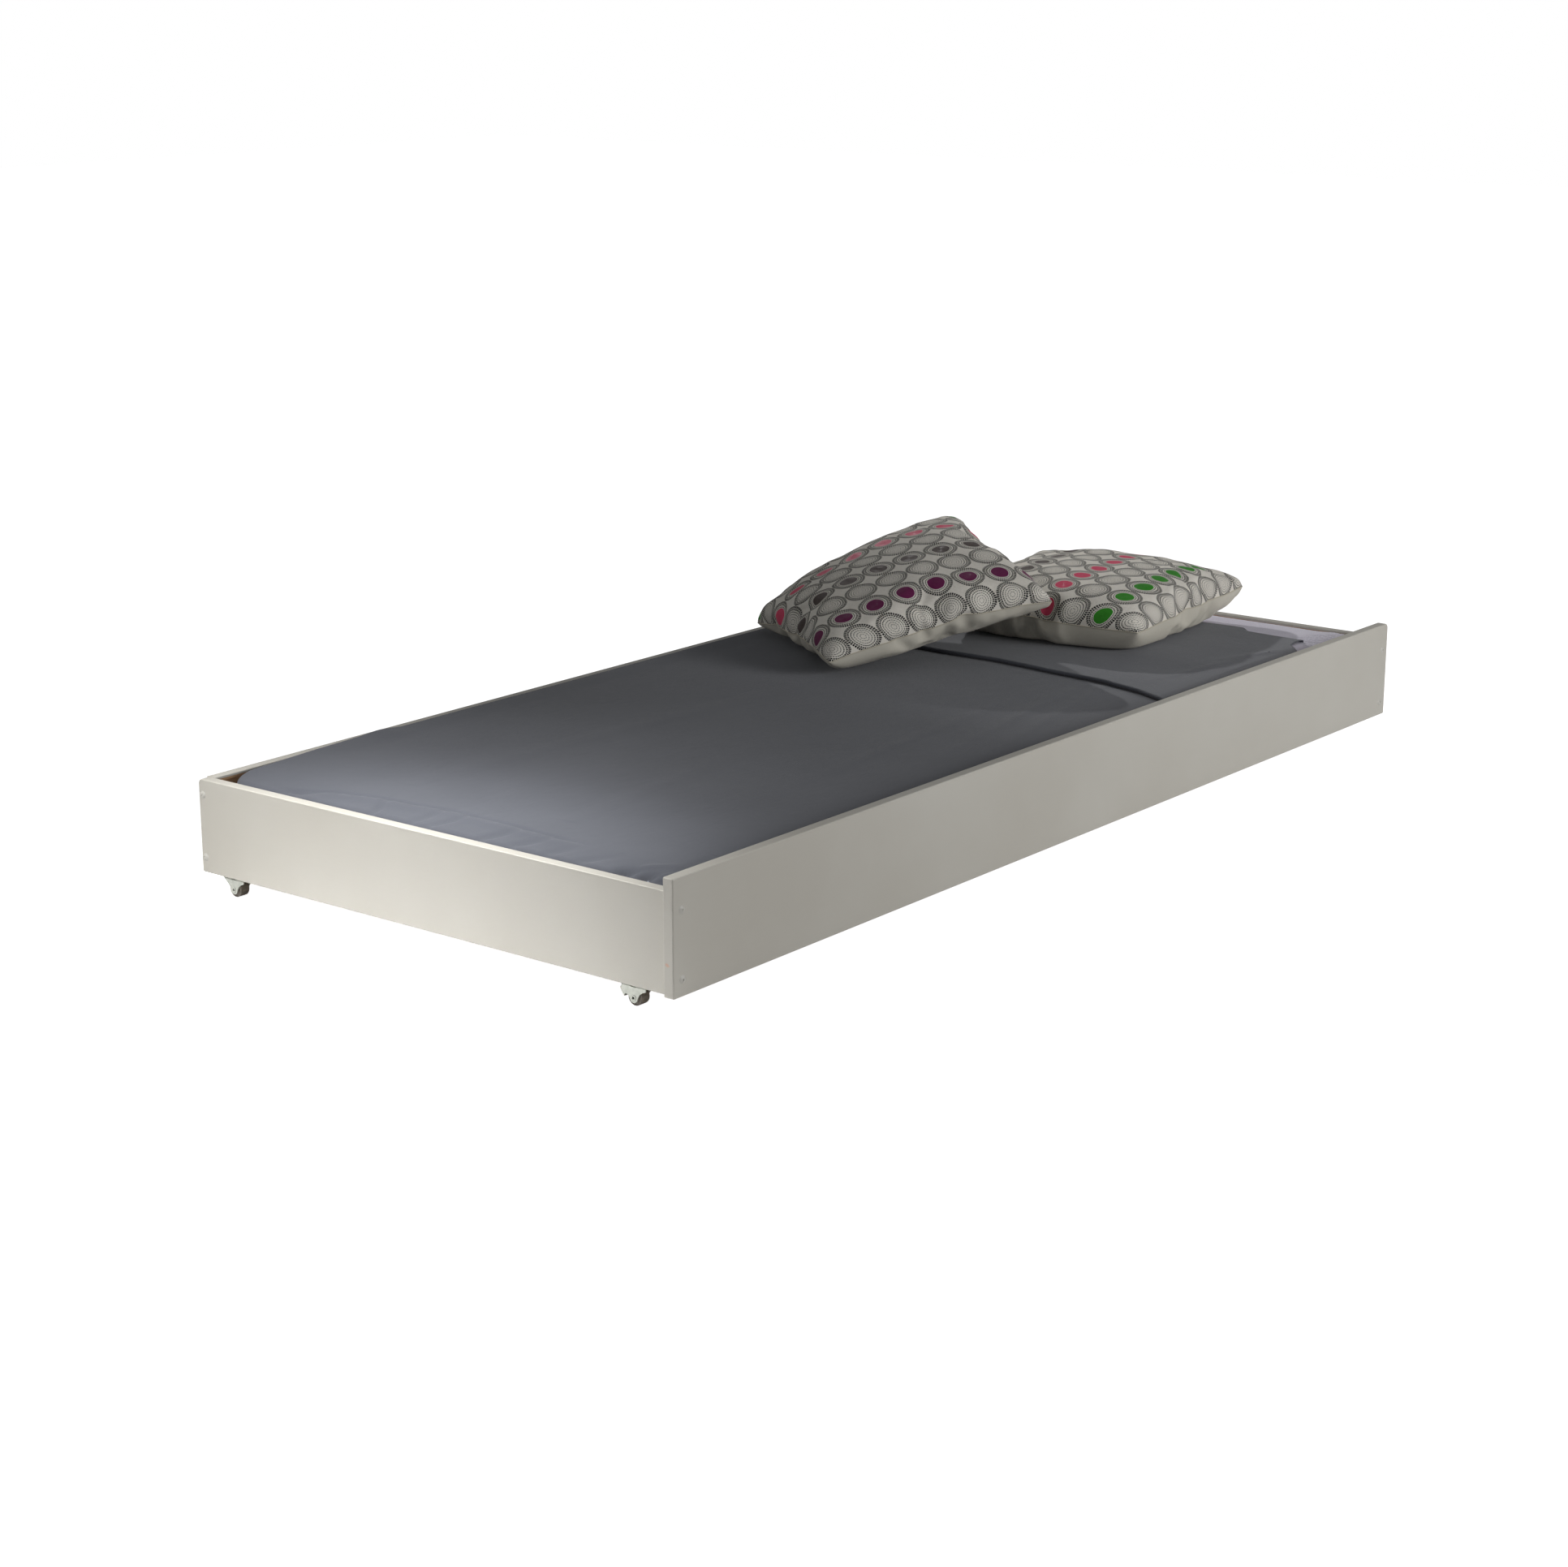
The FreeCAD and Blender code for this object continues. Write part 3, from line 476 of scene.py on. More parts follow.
def painted_pine(direction, top):
    """Off-white satin paint outside; inside the well the board is bare."""
    look = Look(f"painted_pine_{direction}_{round(top * 1000)}", Specular_IOR_Level=0.6)
    place = look.place()
    x, y, z = look.split(place)[:3]
    fine, bands = grain(look, direction)
    cloud = look.noise(place, 3.5, 3.0, 0.55)
    paint = look.mix(look.remap(cloud, 0.3, 0.7), PAINT_LOW, PAINT_HIGH)
    paint = look.mix(look.remap(fine, 0.50, 0.85, 0.0, 0.05), paint, PAINT_STREAK)
    speck = look.noise(place, 900.0, 2.0, 0.6)
    paint = look.mix(look.remap(speck, 0.70, 0.80, 0.0, 0.35), paint, PAINT_SPECK)
    pine, _ = pine_colour(look, direction)
    inside = look.both(
        look.below(look.math("ABSOLUTE", x), END_INSIDE_X + SKIN),
        look.above(y, FRONT_INSIDE_Y - SKIN),
        look.below(y, RAIL_INSIDE_Y + SKIN),
        look.below(look.math("ADD", z, look.math("MULTIPLY", bands, PAINT_LINE_WAVER)), top - PAINT_LINE))
    chip_place = look.node("VectorMath", operation="DISTANCE")
    look.feed(chip_place.inputs[0], place)
    chip_place.inputs[1].default_value = CHIP
    ragged = look.math("ADD", chip_place.outputs["Value"],
                       look.math("MULTIPLY", look.noise(place, 260.0, 3.0, 0.7), CHIP_RAGGED))
    chip = look.below(ragged, CHIP_RADIUS)
    bare = look.math("MAXIMUM", inside, chip)
    worn = look.mix(look.math("MULTIPLY", chip, 0.85), paint, PAINT_CHIPPED)
    look.paint(look.mix(inside, worn, pine))
    satin = look.remap(cloud, 0.3, 0.7, 0.28, 0.36)
    look.rough(look.math("ADD", satin, look.math("MULTIPLY", bare, 0.25)))
    look.bump(look.math("ADD", look.math("MULTIPLY", fine, 0.10), look.math("MULTIPLY", speck, 0.5)),
              0.0003, 0.30)
    return look.material


# ---- metal and plastic
def zinc():
    """Zinc-plated steel, cloudy and rubbed in places."""
    look = Look("zinc_steel", Metallic=0.55)
    place = look.place()
    cloud = look.noise(place, 160.0, 4.0, 0.6)
    rub = look.noise(look.scaled(place, 40.0, 400.0, 60.0), 8.0, 3.0, 0.7)
    colour = look.mix(look.remap(cloud, 0.3, 0.7), linear(196, 200, 190), linear(222, 224, 216))
    look.paint(look.mix(look.remap(rub, 0.62, 0.8, 0.0, 0.5), colour, linear(160, 160, 150)))
    look.rough(look.remap(cloud, 0.3, 0.7, 0.28, 0.46))
    look.bump(rub, 0.0001, 0.4)
    return look.material


def moulded(name, dark, light, low_rough, high_rough, scale):
    look = Look(name)
    place = look.place()
    cloud = look.noise(place, scale, 4.0, 0.6)
    fine = look.noise(place, scale * 12, 2.0, 0.5)
    look.paint(look.mix(look.remap(cloud, 0.3, 0.7), dark, light))
    look.rough(look.remap(cloud, 0.3, 0.7, low_rough, high_rough))
    look.bump(fine, 0.00008, 0.5)
    return look.material


# ---- cloth
def weave(look, flat, pitch):
    """Crossing threads, with a little unevenness."""
    a, b = look.split(flat)[:2]
    threads = look.math("MULTIPLY", look.wave(a, pitch), look.wave(b, pitch))
    slub = look.noise(flat, 1.0 / (pitch * 5), 3.0, 0.7)
    return threads, slub


def cotton(name, light, dark, pitch, sheen):
    look = Look(name, Sheen_Weight=sheen, Sheen_Roughness=0.45, Specular_IOR_Level=0.25)
    flat = look.flat()
    threads, slub = weave(look, flat, pitch)
    cloud = look.noise(flat, 4.0, 3.0, 0.55)
    colour = look.mix(look.remap(cloud, 0.3, 0.7), dark, light)
    colour = look.mix(look.remap(slub, 0.42, 0.72, 0.0, 0.30), colour, tuple(c * 1.35 for c in light))
    look.paint(colour)
    look.rough(look.remap(slub, 0.3, 0.7, 0.72, 0.90))
    creases = look.noise(look.scaled(flat, 1.0, 2.2, 1.0), 26.0, 4.0, 0.6, 0.4)
    height = look.math("ADD", look.math("MULTIPLY", threads, 0.05), look.math("MULTIPLY", slub, 0.12))
    height = look.math("ADD", height, creases)
    look.bump(height, 0.0011, 0.45)
    return look.material


def ticking():
    look = Look("mattress_fabric", Sheen_Weight=0.2)
    place = look.place()
    x, y = look.split(place)[:2]
    stripe = look.above(look.wave(x, 0.030), 0.80)
    fine = look.above(look.wave(look.math("ADD", x, 0.006), 0.030), 0.95)
    colour = look.mix(stripe, linear(232, 230, 224), linear(176, 184, 196))
    colour = look.mix(fine, colour, linear(150, 160, 176))
    slub = look.noise(place, 700.0, 3.0, 0.6)
    look.paint(look.mix(look.remap(slub, 0.45, 0.75, 0.0, 0.25), colour, linear(205, 200, 190)))
    look.rough(look.remap(slub, 0.3, 0.7, 0.75, 0.92))
    quilt = look.math("MULTIPLY", look.wave(look.math("ADD", x, y), 0.11),
                      look.wave(look.math("SUBTRACT", x, y), 0.11))
    look.bump(look.math("ADD", look.math("ABSOLUTE", quilt), look.math("MULTIPLY", slub, 0.08)),
              0.004, 0.5)
    return look.material


# the pattern's grid, its rings and their dashes, and its discs
MOTIF = 0.0578
RING_STEP = 0.0044
RING_COUNT = 6
RING_THIN, RING_BOLD = 0.0004, 0.0024
RING_WOBBLE = 0.0016
STITCH = 0.0037
STITCH_SHARE = 0.70
DISC = 0.0152
DISC_GAP = 0.0012
DISC_STRANDS = 46
# a point's side is 1 on the front, -1 on the back and 0 at the seam
FRONT_FROM = 0.03
GROUND_BACK = linear(218, 214, 201)
GROUND_FRONT = linear(244, 240, 231)
GROUND_SLUB = linear(206, 199, 184)
# colour of the painted highlight laid on the satin discs' strands
SATIN_PAINTED_HIGHLIGHT = (0.9, 0.88, 0.85)
# row of the grid and thread colour
THREADS = [(1, linear(112, 8, 80)), (3, linear(84, 72, 68)), (5, linear(232, 74, 112)),
           (7, linear(46, 150, 22))]


def embroidered():
    """Ecru cloth with a square grid of dashed rings; every other row has satin-stitched discs, their
    strands given a painted highlight.
    """
    look = Look("pillow_fabric", Sheen_Weight=0.03, Sheen_Roughness=0.4, Specular_IOR_Level=0.15)
    flat = look.flat()
    u, v, side = look.split(flat)[:3]
    threads, slub = weave(look, flat, 0.0009)
    top = look.above(side, FRONT_FROM)
    ground = look.mix(top, GROUND_BACK, GROUND_FRONT)
    ground = look.mix(look.remap(slub, 0.40, 0.75, 0.0, 0.35), ground, GROUND_SLUB)

    def in_cell(value):
        cells = look.math("DIVIDE", value, MOTIF)
        return look.math("MULTIPLY", look.math("SUBTRACT", look.math("FRACT", cells), 0.5), MOTIF)

    cell_u, cell_v = in_cell(u), in_cell(v)
    wobble = look.math("MULTIPLY", look.math("SUBTRACT", look.noise(flat, 160.0, 2.0), 0.5), RING_WOBBLE)
    radius = look.math("SQRT", look.math("ADD", look.math("MULTIPLY", cell_u, cell_u),
                                         look.math("MULTIPLY", cell_v, cell_v)))
    radius = look.math("ADD", radius, wobble)
    angle = look.math("ARCTAN2", cell_v, cell_u)
    row = look.math("FLOOR", look.math("ADD", look.math("DIVIDE", v, MOTIF), 4.0))
    coloured = look.above(look.math("MODULO", look.math("ADD", row, 8.0), 2.0), 0.5)
    in_disc = look.both(coloured, look.below(radius, DISC), top)

    ring = look.math("ROUND", look.math("DIVIDE", radius, RING_STEP))
    ring_radius = look.math("MULTIPLY", ring, RING_STEP)
    off_ring = look.math("ABSOLUTE", look.math("SUBTRACT", radius, ring_radius))
    bold = look.math("POWER", look.math("DIVIDE", ring, float(RING_COUNT)), 4.0)
    width = look.remap(bold, 0.0, 1.0, RING_THIN, RING_BOLD)
    around = look.math("MULTIPLY", ring_radius, 2 * math.pi)
    count = look.math("ROUND", look.math("DIVIDE", around, STITCH))
    turn = look.math("ADD", look.math("MULTIPLY", look.math("DIVIDE", angle, 2 * math.pi), count),
                     look.math("MULTIPLY", ring, 0.37))
    dash = look.below(look.math("FRACT", look.math("ADD", turn, 64.0)), STITCH_SHARE)
    outside_disc = look.math("MAXIMUM", look.below(coloured, 0.5), look.above(radius, DISC + DISC_GAP))
    stitched = look.both(look.below(off_ring, width), dash,
                         look.below(ring, RING_COUNT + 0.5), look.above(ring, 0.5), outside_disc, top)
    black = look.mix(look.remap(look.noise(flat, 900.0), 0.3, 0.7), linear(1, 1, 1), linear(8, 7, 7))

    satin = None
    for index, colour in THREADS:
        this_row = look.below(look.math("ABSOLUTE", look.math("SUBTRACT", row, float(index))), 0.5)
        satin = colour if satin is None else look.mix(this_row, satin, colour)
    # painted highlight: the discs' satin strands are lightened towards near-white in stripes round each
    # disc, less so in random patches
    strand = look.wave(angle, 2 * math.pi / DISC_STRANDS)
    satin_with_painted_highlight = look.mix(look.remap(strand, -1.0, 1.0, 0.0, 0.05), satin, SATIN_PAINTED_HIGHLIGHT)
    satin_with_painted_highlight = look.mix(look.remap(look.noise(flat, 500.0), 0.35, 0.65, 0.0, 0.35), satin_with_painted_highlight, satin)

    colour = look.mix(stitched, ground, black)
    look.paint(look.mix(in_disc, colour, satin_with_painted_highlight))
    rough = look.remap(slub, 0.3, 0.7, 0.74, 0.9)
    rough = look.math("SUBTRACT", rough, look.math("MULTIPLY", in_disc, 0.38))
    look.rough(rough)
    height = look.math("ADD", look.math("MULTIPLY", threads, 0.05), look.math("MULTIPLY", slub, 0.10))
    height = look.math("ADD", height, look.math("MULTIPLY", stitched, 0.7))
    height = look.math("ADD", height, look.math("MULTIPLY", in_disc,
                                                look.remap(strand, -1.0, 1.0, 0.6, 0.9)))
    look.bump(height, 0.0009, 0.6)
    return look.material


def seam_thread():
    look = Look("seam_thread", Specular_IOR_Level=0.15)
    place = look.place()
    twist = look.noise(place, 900.0, 2.0, 0.5)
    look.paint(look.mix(twist, linear(190, 183, 165), linear(222, 216, 200)))
    look.rough(look.remap(twist, 0.3, 0.7, 0.7, 0.9))
    look.bump(twist, 0.0004, 0.6)
    return look.material


# ---- mattress
SIDE_INSET = 0.004
SIDE_LEVELS = 6


def make_mattress():
    """A foam block with rounded edges and a slight crown, its sides drawn in a little at mid height."""
    columns = steps((-1, -0.88, 0.003), (-0.88, 0.90, 0.05), (0.90, 1, 0.012))
    rows = steps((-1, -0.94, 0.006), (-0.94, 0.94, 0.008), (0.94, 1, 0.006))

    def on_top(s, t):
        a = s * (CORE_X + EDGE_ROUND * math.pi / 2)
        b = t * (CORE_Y + EDGE_ROUND * math.pi / 2) + BED_MIDDLE_Y
        return over_bed(a, b, 0.0, lambda x, y: 0.0)

    top = [on_top(s, t) for s in rows for t in columns]
    bottom = [Vector((p.x, p.y, BED_BOTTOM + max(BED_TOP - p.z, 0))) for p in top]
    width = len(columns)
    vertices = top + bottom
    faces = grid_faces(len(rows), width)
    shift = len(top)
    faces += [tuple(shift + k for k in reversed(face)) for face in grid_faces(len(rows), width)]
    rim = list(range(width))
    rim += [i * width + width - 1 for i in range(1, len(rows))]
    rim += [(len(rows) - 1) * width + j for j in range(width - 2, -1, -1)]
    rim += [i * width for i in range(len(rows) - 2, 0, -1)]
    loops = [rim]
    for level in range(1, SIDE_LEVELS):
        share = level / SIDE_LEVELS
        pull = SIDE_INSET * math.sin(math.pi * share)
        loop = []
        for k in rim:
            high, low = top[k], bottom[k]
            flat_out = Vector((high.x, high.y - BED_MIDDLE_Y)).normalized()
            loop.append(len(vertices))
            vertices.append(Vector((high.x - flat_out.x * pull, high.y - flat_out.y * pull,
                                    high.z + (low.z - high.z) * share)))
        loops.append(loop)
    loops.append([k + shift for k in rim])
    count = len(rim)
    for upper, lower in zip(loops, loops[1:]):
        faces += [(upper[k], lower[k], lower[(k + 1) % count], upper[(k + 1) % count])
                  for k in range(count)]
    piece = new_piece("mattress_pad", vertices, faces)
    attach(piece, "mattress")
    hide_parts("mattress")
    piece.data.materials.append(ticking())
    return piece


# ---- sheets
# the under-sheet's gathers: where they begin along and across the bed, and where they fade
GATHERS_ALONG = (0.74, 0.79)
GATHERS_ACROSS = (0.345, 0.405)
GATHERS_FADE = (0.92, 0.98)
GATHER_PITCH = 0.0145
GATHER_HEIGHT = 0.0056
GATHER_RUFFLE = 0.0016
FAR_END = (0.88, 0.94)
FAR_END_WAVES = 0.0010

# (across, along) where the cover turns back, and where its folded end stops
FAR_LINE = [(-0.47, 0.872), (-0.386, 0.876), (-0.350, 0.877), (-0.290, 0.873), (-0.245, 0.870),
            (-0.175, 0.868), (0.10, 0.880), (0.45, 0.886)]
FOLD_LINE = [(-0.52, 0.250), (-0.492, 0.262), (-0.452, 0.302), (-0.37, 0.338), (-0.287, 0.357),
             (-0.217, 0.362), (-0.13, 0.372), (-0.052, 0.380), (0.053, 0.376), (0.25, 0.385), (0.52, 0.392)]
# (along, across) of the cover's front edge near the far end
FRONT_HEM = [(0.720, -0.540), (0.762, -0.444), (0.797, -0.410), (0.830, -0.402), (0.866, -0.404),
             (0.960, -0.402)]
FAR_CORNER = 0.020
FAR_CORNER_ACROSS = (0.372, 0.404)
# air between the folded end and the layer under it, and how full its rolled edge is
FOLD_GAP = 0.0015
NOSE_FULLNESS = 1.25
NOSE_UNEVEN = 0.25
# the fold is pressed down along the boards and stands up in the open
FOLD_PRESSED = 0.0040
PRESSED_ACROSS = (0.430, 0.458)
FOLD_PUFF = 0.0009
FOLD_PUFF_HALF = 0.43
# the cover spreads over the rear board above its top
OVERHANG_FROM, OVERHANG_FULL = 0.0012, 0.0040
OVERHANG_ABOVE = 0.0015
OVERHANG_ACROSS = (0.428, 0.452)


def under_relief(x, y):
    """Gathered folds at the far end, deepest at the front corner."""
    depth = smooth(x, *GATHERS_ALONG) * smooth(-y, *GATHERS_ACROSS) * (1 - 0.7 * smooth(x, *GATHERS_FADE))
    bent = x + 0.25 * y + 0.010 * ripple(x, y, 18.0, 18.0, 3.0)
    folds = 0.5 + 0.5 * math.sin(2 * math.pi * bent / GATHER_PITCH)
    small = ripple(x, y, 70.0, 70.0, 6.0)
    wide = smooth(x, *FAR_END) * FAR_END_WAVES * (1 + ripple(x, y, 20.0, 7.0, 9.0))
    return depth * (GATHER_HEIGHT * folds ** 1.5 + GATHER_RUFFLE * small) + wide


def make_under_sheet():
    """The fitted white sheet, tucked round the mattress."""
    far = CORE_X + SKIRT
    side = CORE_Y + SKIRT
    lengthways = steps((-far, -1.00, 0.006), (-1.00, -0.88, 0.003), (-0.88, 0.84, 0.04),
                       (0.84, 1.02, 0.003), (1.02, far, 0.006))
    sideways = steps((-side, -0.47, 0.006), (-0.47, 0.47, 0.005), (0.47, side, 0.006))
    vertices = [over_bed(a, b + BED_MIDDLE_Y, UNDER_LIFT, under_relief)
                for a in lengthways for b in sideways]
    flat = [(a, b, 0) for a in lengthways for b in sideways]
    piece = new_piece("under_sheet_cloth", vertices, grid_faces(len(lengthways), len(sideways)), flat)
    thicken(piece, UNDER_SHEET_THICKNESS)
    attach(piece, "mattress")
    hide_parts("under_sheet")
    piece.data.materials.append(
        cotton("white_cotton", linear(232, 229, 240), linear(214, 210, 226), 0.0006, 0.1))
    return piece


def make_cover():
    """The grey cover: tucked in at the near end, and turned back on itself at the far end."""
    near = -(CORE_X + SKIRT)
    side = CORE_Y + SKIRT
    turn_radius = (FOLD_LIFT - COVER_LIFT) / 2
    nose_radius = (FOLD_LIFT - COVER_LIFT - FOLD_GAP) / 2
    sideways = steps((-side, -0.455, 0.005), (-0.455, -0.40, 0.003), (-0.40, 0.42, 0.006),
                     (0.42, 0.475, 0.003), (0.475, side, 0.005))

    def far_end(b):
        return through(FAR_LINE, b) - FAR_CORNER * smooth(-b, *FAR_CORNER_ACROSS)

    def front_hem(a):
        return through(FRONT_HEM, a) if a > FRONT_HEM[0][0] else -side

    lower = steps((0, 0.035, 0.003), (0.035, 0.115, 0.0016), (0.115, 0.96, 0.0040), (0.96, 1, 0.0020))
    lengthways = [("lower", share) for share in lower]
    lengthways += [("turn", k / 8) for k in range(1, 8)]
    upper = steps((0, 0.05, 0.007), (0.05, 0.97, 0.012), (0.97, 1, 0.004))
    lengthways += [("upper", share) for share in upper]
    lengthways += [("nose", k / 9) for k in range(1, 9)]
    lengthways += [("tuck", share) for share in steps((0, 1, 0.25))]
    vertices, flat = [], []
    for part, share in lengthways:
        for row in sideways:
            start, end = far_end(row), through(FOLD_LINE, row)
            if part == "lower":
                a, lift, run = near + (start - near) * share, COVER_LIFT, 0
            elif part == "turn":
                a = start + turn_radius * math.sin(math.pi * share)
                lift = COVER_LIFT + turn_radius * (1 - math.cos(math.pi * share))
                run = turn_radius * math.pi * share
            elif part == "upper":
                a, lift = start + (end - start) * share, FOLD_LIFT
                run = 2 * (start - end) * share
            elif part == "nose":
                puff = 1.0 + NOSE_UNEVEN * ripple(row, 0.0, 9.0, 1.0, 2.0)
                a = end - NOSE_FULLNESS * puff * nose_radius * math.sin(math.pi * share)
                lift = FOLD_LIFT - nose_radius * (1 - math.cos(math.pi * share))
                run = 2 * (start - end)
            else:
                a, lift = end + HEM_TUCK * share, FOLD_LIFT - 2 * nose_radius
                run = 2 * (start - end) - HEM_TUCK * share
            hem = front_hem(a)
            b = side - (side - row) * (side - hem) / (2 * side)
            if part in ("upper", "nose", "turn"):
                raised = (lift - COVER_LIFT) / (FOLD_LIFT - COVER_LIFT)
                lift -= FOLD_PRESSED * smooth(abs(b), *PRESSED_ACROSS) * raised
            point = over_bed(a, b + BED_MIDDLE_Y, lift, cloth_relief)
            if part in ("upper", "nose") and abs(b) < FOLD_PUFF_HALF:
                swell = 0.5 + ripple(point.x, point.y, 6.0, 9.0, 12.0)
                point.z += FOLD_PUFF * swell * smooth(share, 0, 0.1)
            if point.z > RAIL_TOP + OVERHANG_ABOVE and b > 0:
                proud = through(REAR_OVERHANG, point.x) * smooth(b, *OVERHANG_ACROSS)
                point.y += proud * smooth(point.z, RAIL_TOP + OVERHANG_FROM, RAIL_TOP + OVERHANG_FULL)
            vertices.append(point)
            flat.append((a if part != "upper" else 2 * start - a + 0.01, b, run))
    piece = new_piece("cover_cloth", vertices, grid_faces(len(lengthways), len(sideways)), flat)
    thicken(piece, COVER_THICKNESS)
    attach(piece, "mattress")
    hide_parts("cover", "folded_cover")
    piece.data.materials.append(
        cotton("grey_cotton", linear(95, 98, 106), linear(88, 91, 99), 0.0006, 0.22))
    return piece


# ---- pillows
PILLOW_CUT = 0.450
SIM_CELLS = 64
SIM_FRAMES = 22
SIM_PRESSURE = 5.0
START_RISE, START_UNEVEN = 0.006, 0.002
FULLNESS = 0.72
# height and scale
LUMPS = (0.0034, 3.2)
DENTS = (0.0012, 8.0)
# height, distance from the corner, width, and creases round the corner
CORNER_CREASES = (0.0030, 0.050, 0.036, 9)
RUMPLES_FULL = 0.02
SEAM_RADIUS = 0.0011
# clearances before and after the last refinement
PUSH_GAP, SKIN_GAP = 0.0016, 0.0008
PUSH_REACH = 0.06
BEDDING_GAP, BEDDING_SINK = 0.0022, 0.0010
REST_SOFTNESS = 0.006
# the fold's rolled edge reaches this far; past this place only the under-sheet is left
FOLD_REACH = 0.012
SHEET_ONLY_FROM = 0.925
RELIEF_UNDER_PILLOW = 0.6


def envelope(cells, seed, flip):
    """Two square layers of cloth that share their edge.

    Gives points, faces, flat places, the edge's loop and the grid of the front layer.
    """
    key_of, points, flat = {}, [], []
    half = PILLOW_CUT / 2

    def number(i, j, layer):
        on_rim = i in (0, cells) or j in (0, cells)
        key = (i, j, 0 if on_rim else layer)
        if key not in key_of:
            u, v = -half + PILLOW_CUT * i / cells, -half + PILLOW_CUT * j / cells
            unevenness = ripple(u, v, 30, 30, seed + layer)
            rise = 0 if on_rim else layer * (START_RISE + START_UNEVEN * unevenness)
            key_of[key] = len(points)
            points.append(Vector((u, v, rise)))
            flat.append((u, MOTIF - v if flip else v, key[2]))
        return key_of[key]

    faces = []
    for layer in (1, -1):
        for i in range(cells):
            for j in range(cells):
                face = [number(i, j, layer), number(i + 1, j, layer),
                        number(i + 1, j + 1, layer), number(i, j + 1, layer)]
                faces.append(tuple(face if layer > 0 else reversed(face)))
    front = [[number(i, j, 1) for j in range(cells + 1)] for i in range(cells + 1)]
    rim = [front[i][0] for i in range(cells)] + [front[cells][j] for j in range(cells)]
    rim += [front[i][cells] for i in range(cells, 0, -1)] + [front[0][j] for j in range(cells, 0, -1)]
    return points, faces, flat, rim, front


def blown_up(name, cells, seed, flip):
    points, faces, flat, rim, front = envelope(cells, seed, flip)
    piece = new_piece(name, points, faces, flat)
    cloth = piece.modifiers.new("Cloth", "CLOTH")
    settings = cloth.settings
    settings.quality = 7
    settings.mass = 0.25
    settings.tension_stiffness = 30
    settings.compression_stiffness = 30
    settings.shear_stiffness = 12
    settings.bending_stiffness = 0.3
    settings.tension_damping = 12
    settings.compression_damping = 12
    settings.shear_damping = 12
    settings.air_damping = 4
    settings.use_pressure = True
    settings.uniform_pressure_force = SIM_PRESSURE
    settings.effector_weights.gravity = 0
    cloth.collision_settings.use_collision = False
    cloth.point_cache.frame_start = 1
    cloth.point_cache.frame_end = SIM_FRAMES
    for step in range(1, SIM_FRAMES + 1):
        scene.frame_set(step)
    settle(piece)
    scene.frame_set(1)
    return piece, rim, front


def spread_evenly(mesh, front, flip):
    """Gives the front layer's pattern the same spacing everywhere over the filled form."""
    places = np.array([vertex.co for vertex in mesh.vertices])[np.array(front)]

    def shares(axis):
        lengths = np.linalg.norm(np.diff(places, axis=axis), axis=2)
        start = np.zeros_like(np.take(lengths, [0], axis))
        along = np.concatenate([start, np.cumsum(lengths, axis)], axis)
        return (along / np.take(along, [-1], axis) - 0.5) * PILLOW_CUT

    u, v = shares(0), shares(1)
    flat = mesh.attributes["flat"].data
    for i, column in enumerate(front):
        for j, index in enumerate(column):
            across_cloth = MOTIF - v[i, j] if flip else v[i, j]
            flat[index].vector = (u[i, j], across_cloth, flat[index].vector[2])


def soften(mesh, centre, radius, rounds):
    """Rounds off the form near a place."""
    places = np.array([vertex.co for vertex in mesh.vertices])
    edges = np.array([edge.vertices[:] for edge in mesh.edges])
    count = np.bincount(edges.ravel(), minlength=len(places))[:, None]
    distance = np.linalg.norm(places - np.array(centre), axis=1)
    weight = np.clip(1 - distance / radius, 0, 1)[:, None] ** 0.5
    for _ in range(rounds):
        total = np.zeros_like(places)
        np.add.at(total, edges[:, 0], places[edges[:, 1]])
        np.add.at(total, edges[:, 1], places[edges[:, 0]])
        places += weight * 0.6 * (total / count - places)
    mesh.vertices.foreach_set("co", places.ravel())


def across(corners, s, t):
    """Place and normal on the patch between four corners, s and t from -1 to 1."""
    c00, c10, c11, c01 = corners
    place = ((1 - s) * (1 - t) * c00 + (1 + s) * (1 - t) * c10 + (1 + s) * (1 + t) * c11
             + (1 - s) * (1 + t) * c01) / 4
    along_s = (1 - t) * (c10 - c00) + (1 + t) * (c11 - c01)
    along_t = (1 - s) * (c01 - c00) + (1 + s) * (c11 - c10)
    return place, along_s.cross(along_t).normalized()


def bedding_under(x, y):
    """Height of the cloth that a pillow lies on."""
    lift = FOLD_LIFT if x > through(FOLD_LINE, y) - FOLD_REACH else COVER_LIFT
    if x > SHEET_ONLY_FROM:
        lift = UNDER_LIFT
    return mattress_height(x, y) + cloth_relief(x, y) * RELIEF_UNDER_PILLOW + lift + BEDDING_GAP


def rest_on(point, floor, softness):
    """Flattens what would sink below the floor."""
    limit = floor + softness
    if point.z < limit:
        point.z = floor + softness * math.exp((point.z - limit) / softness)


def fuller(share):
    """Fills the pillow out towards its edges; share is from -1 to 1."""
    return math.copysign(abs(share) ** FULLNESS, share)


def rumples(s, t, seed):
    """Soft lumps all over a pillow, and creases that run out of its corners; s and t are from -1 to 1."""
    lump, lump_scale = LUMPS
    dent, dent_scale = DENTS
    height, offset, width, creases = CORNER_CREASES
    lumps = lump * ripple(s, t, lump_scale, lump_scale, seed)
    lumps += dent * ripple(s, t, dent_scale, dent_scale, seed + 5)
    in_s, in_t = max(1 - abs(s), 0.0), max(1 - abs(t), 0.0)
    from_corner = math.hypot(in_s, in_t) * PILLOW_CUT / 2
    around = math.atan2(in_t, in_s)
    turn = creases * around + seed + math.copysign(1, s * t)
    return lumps + height * bell(from_corner - offset, width) * math.cos(turn)


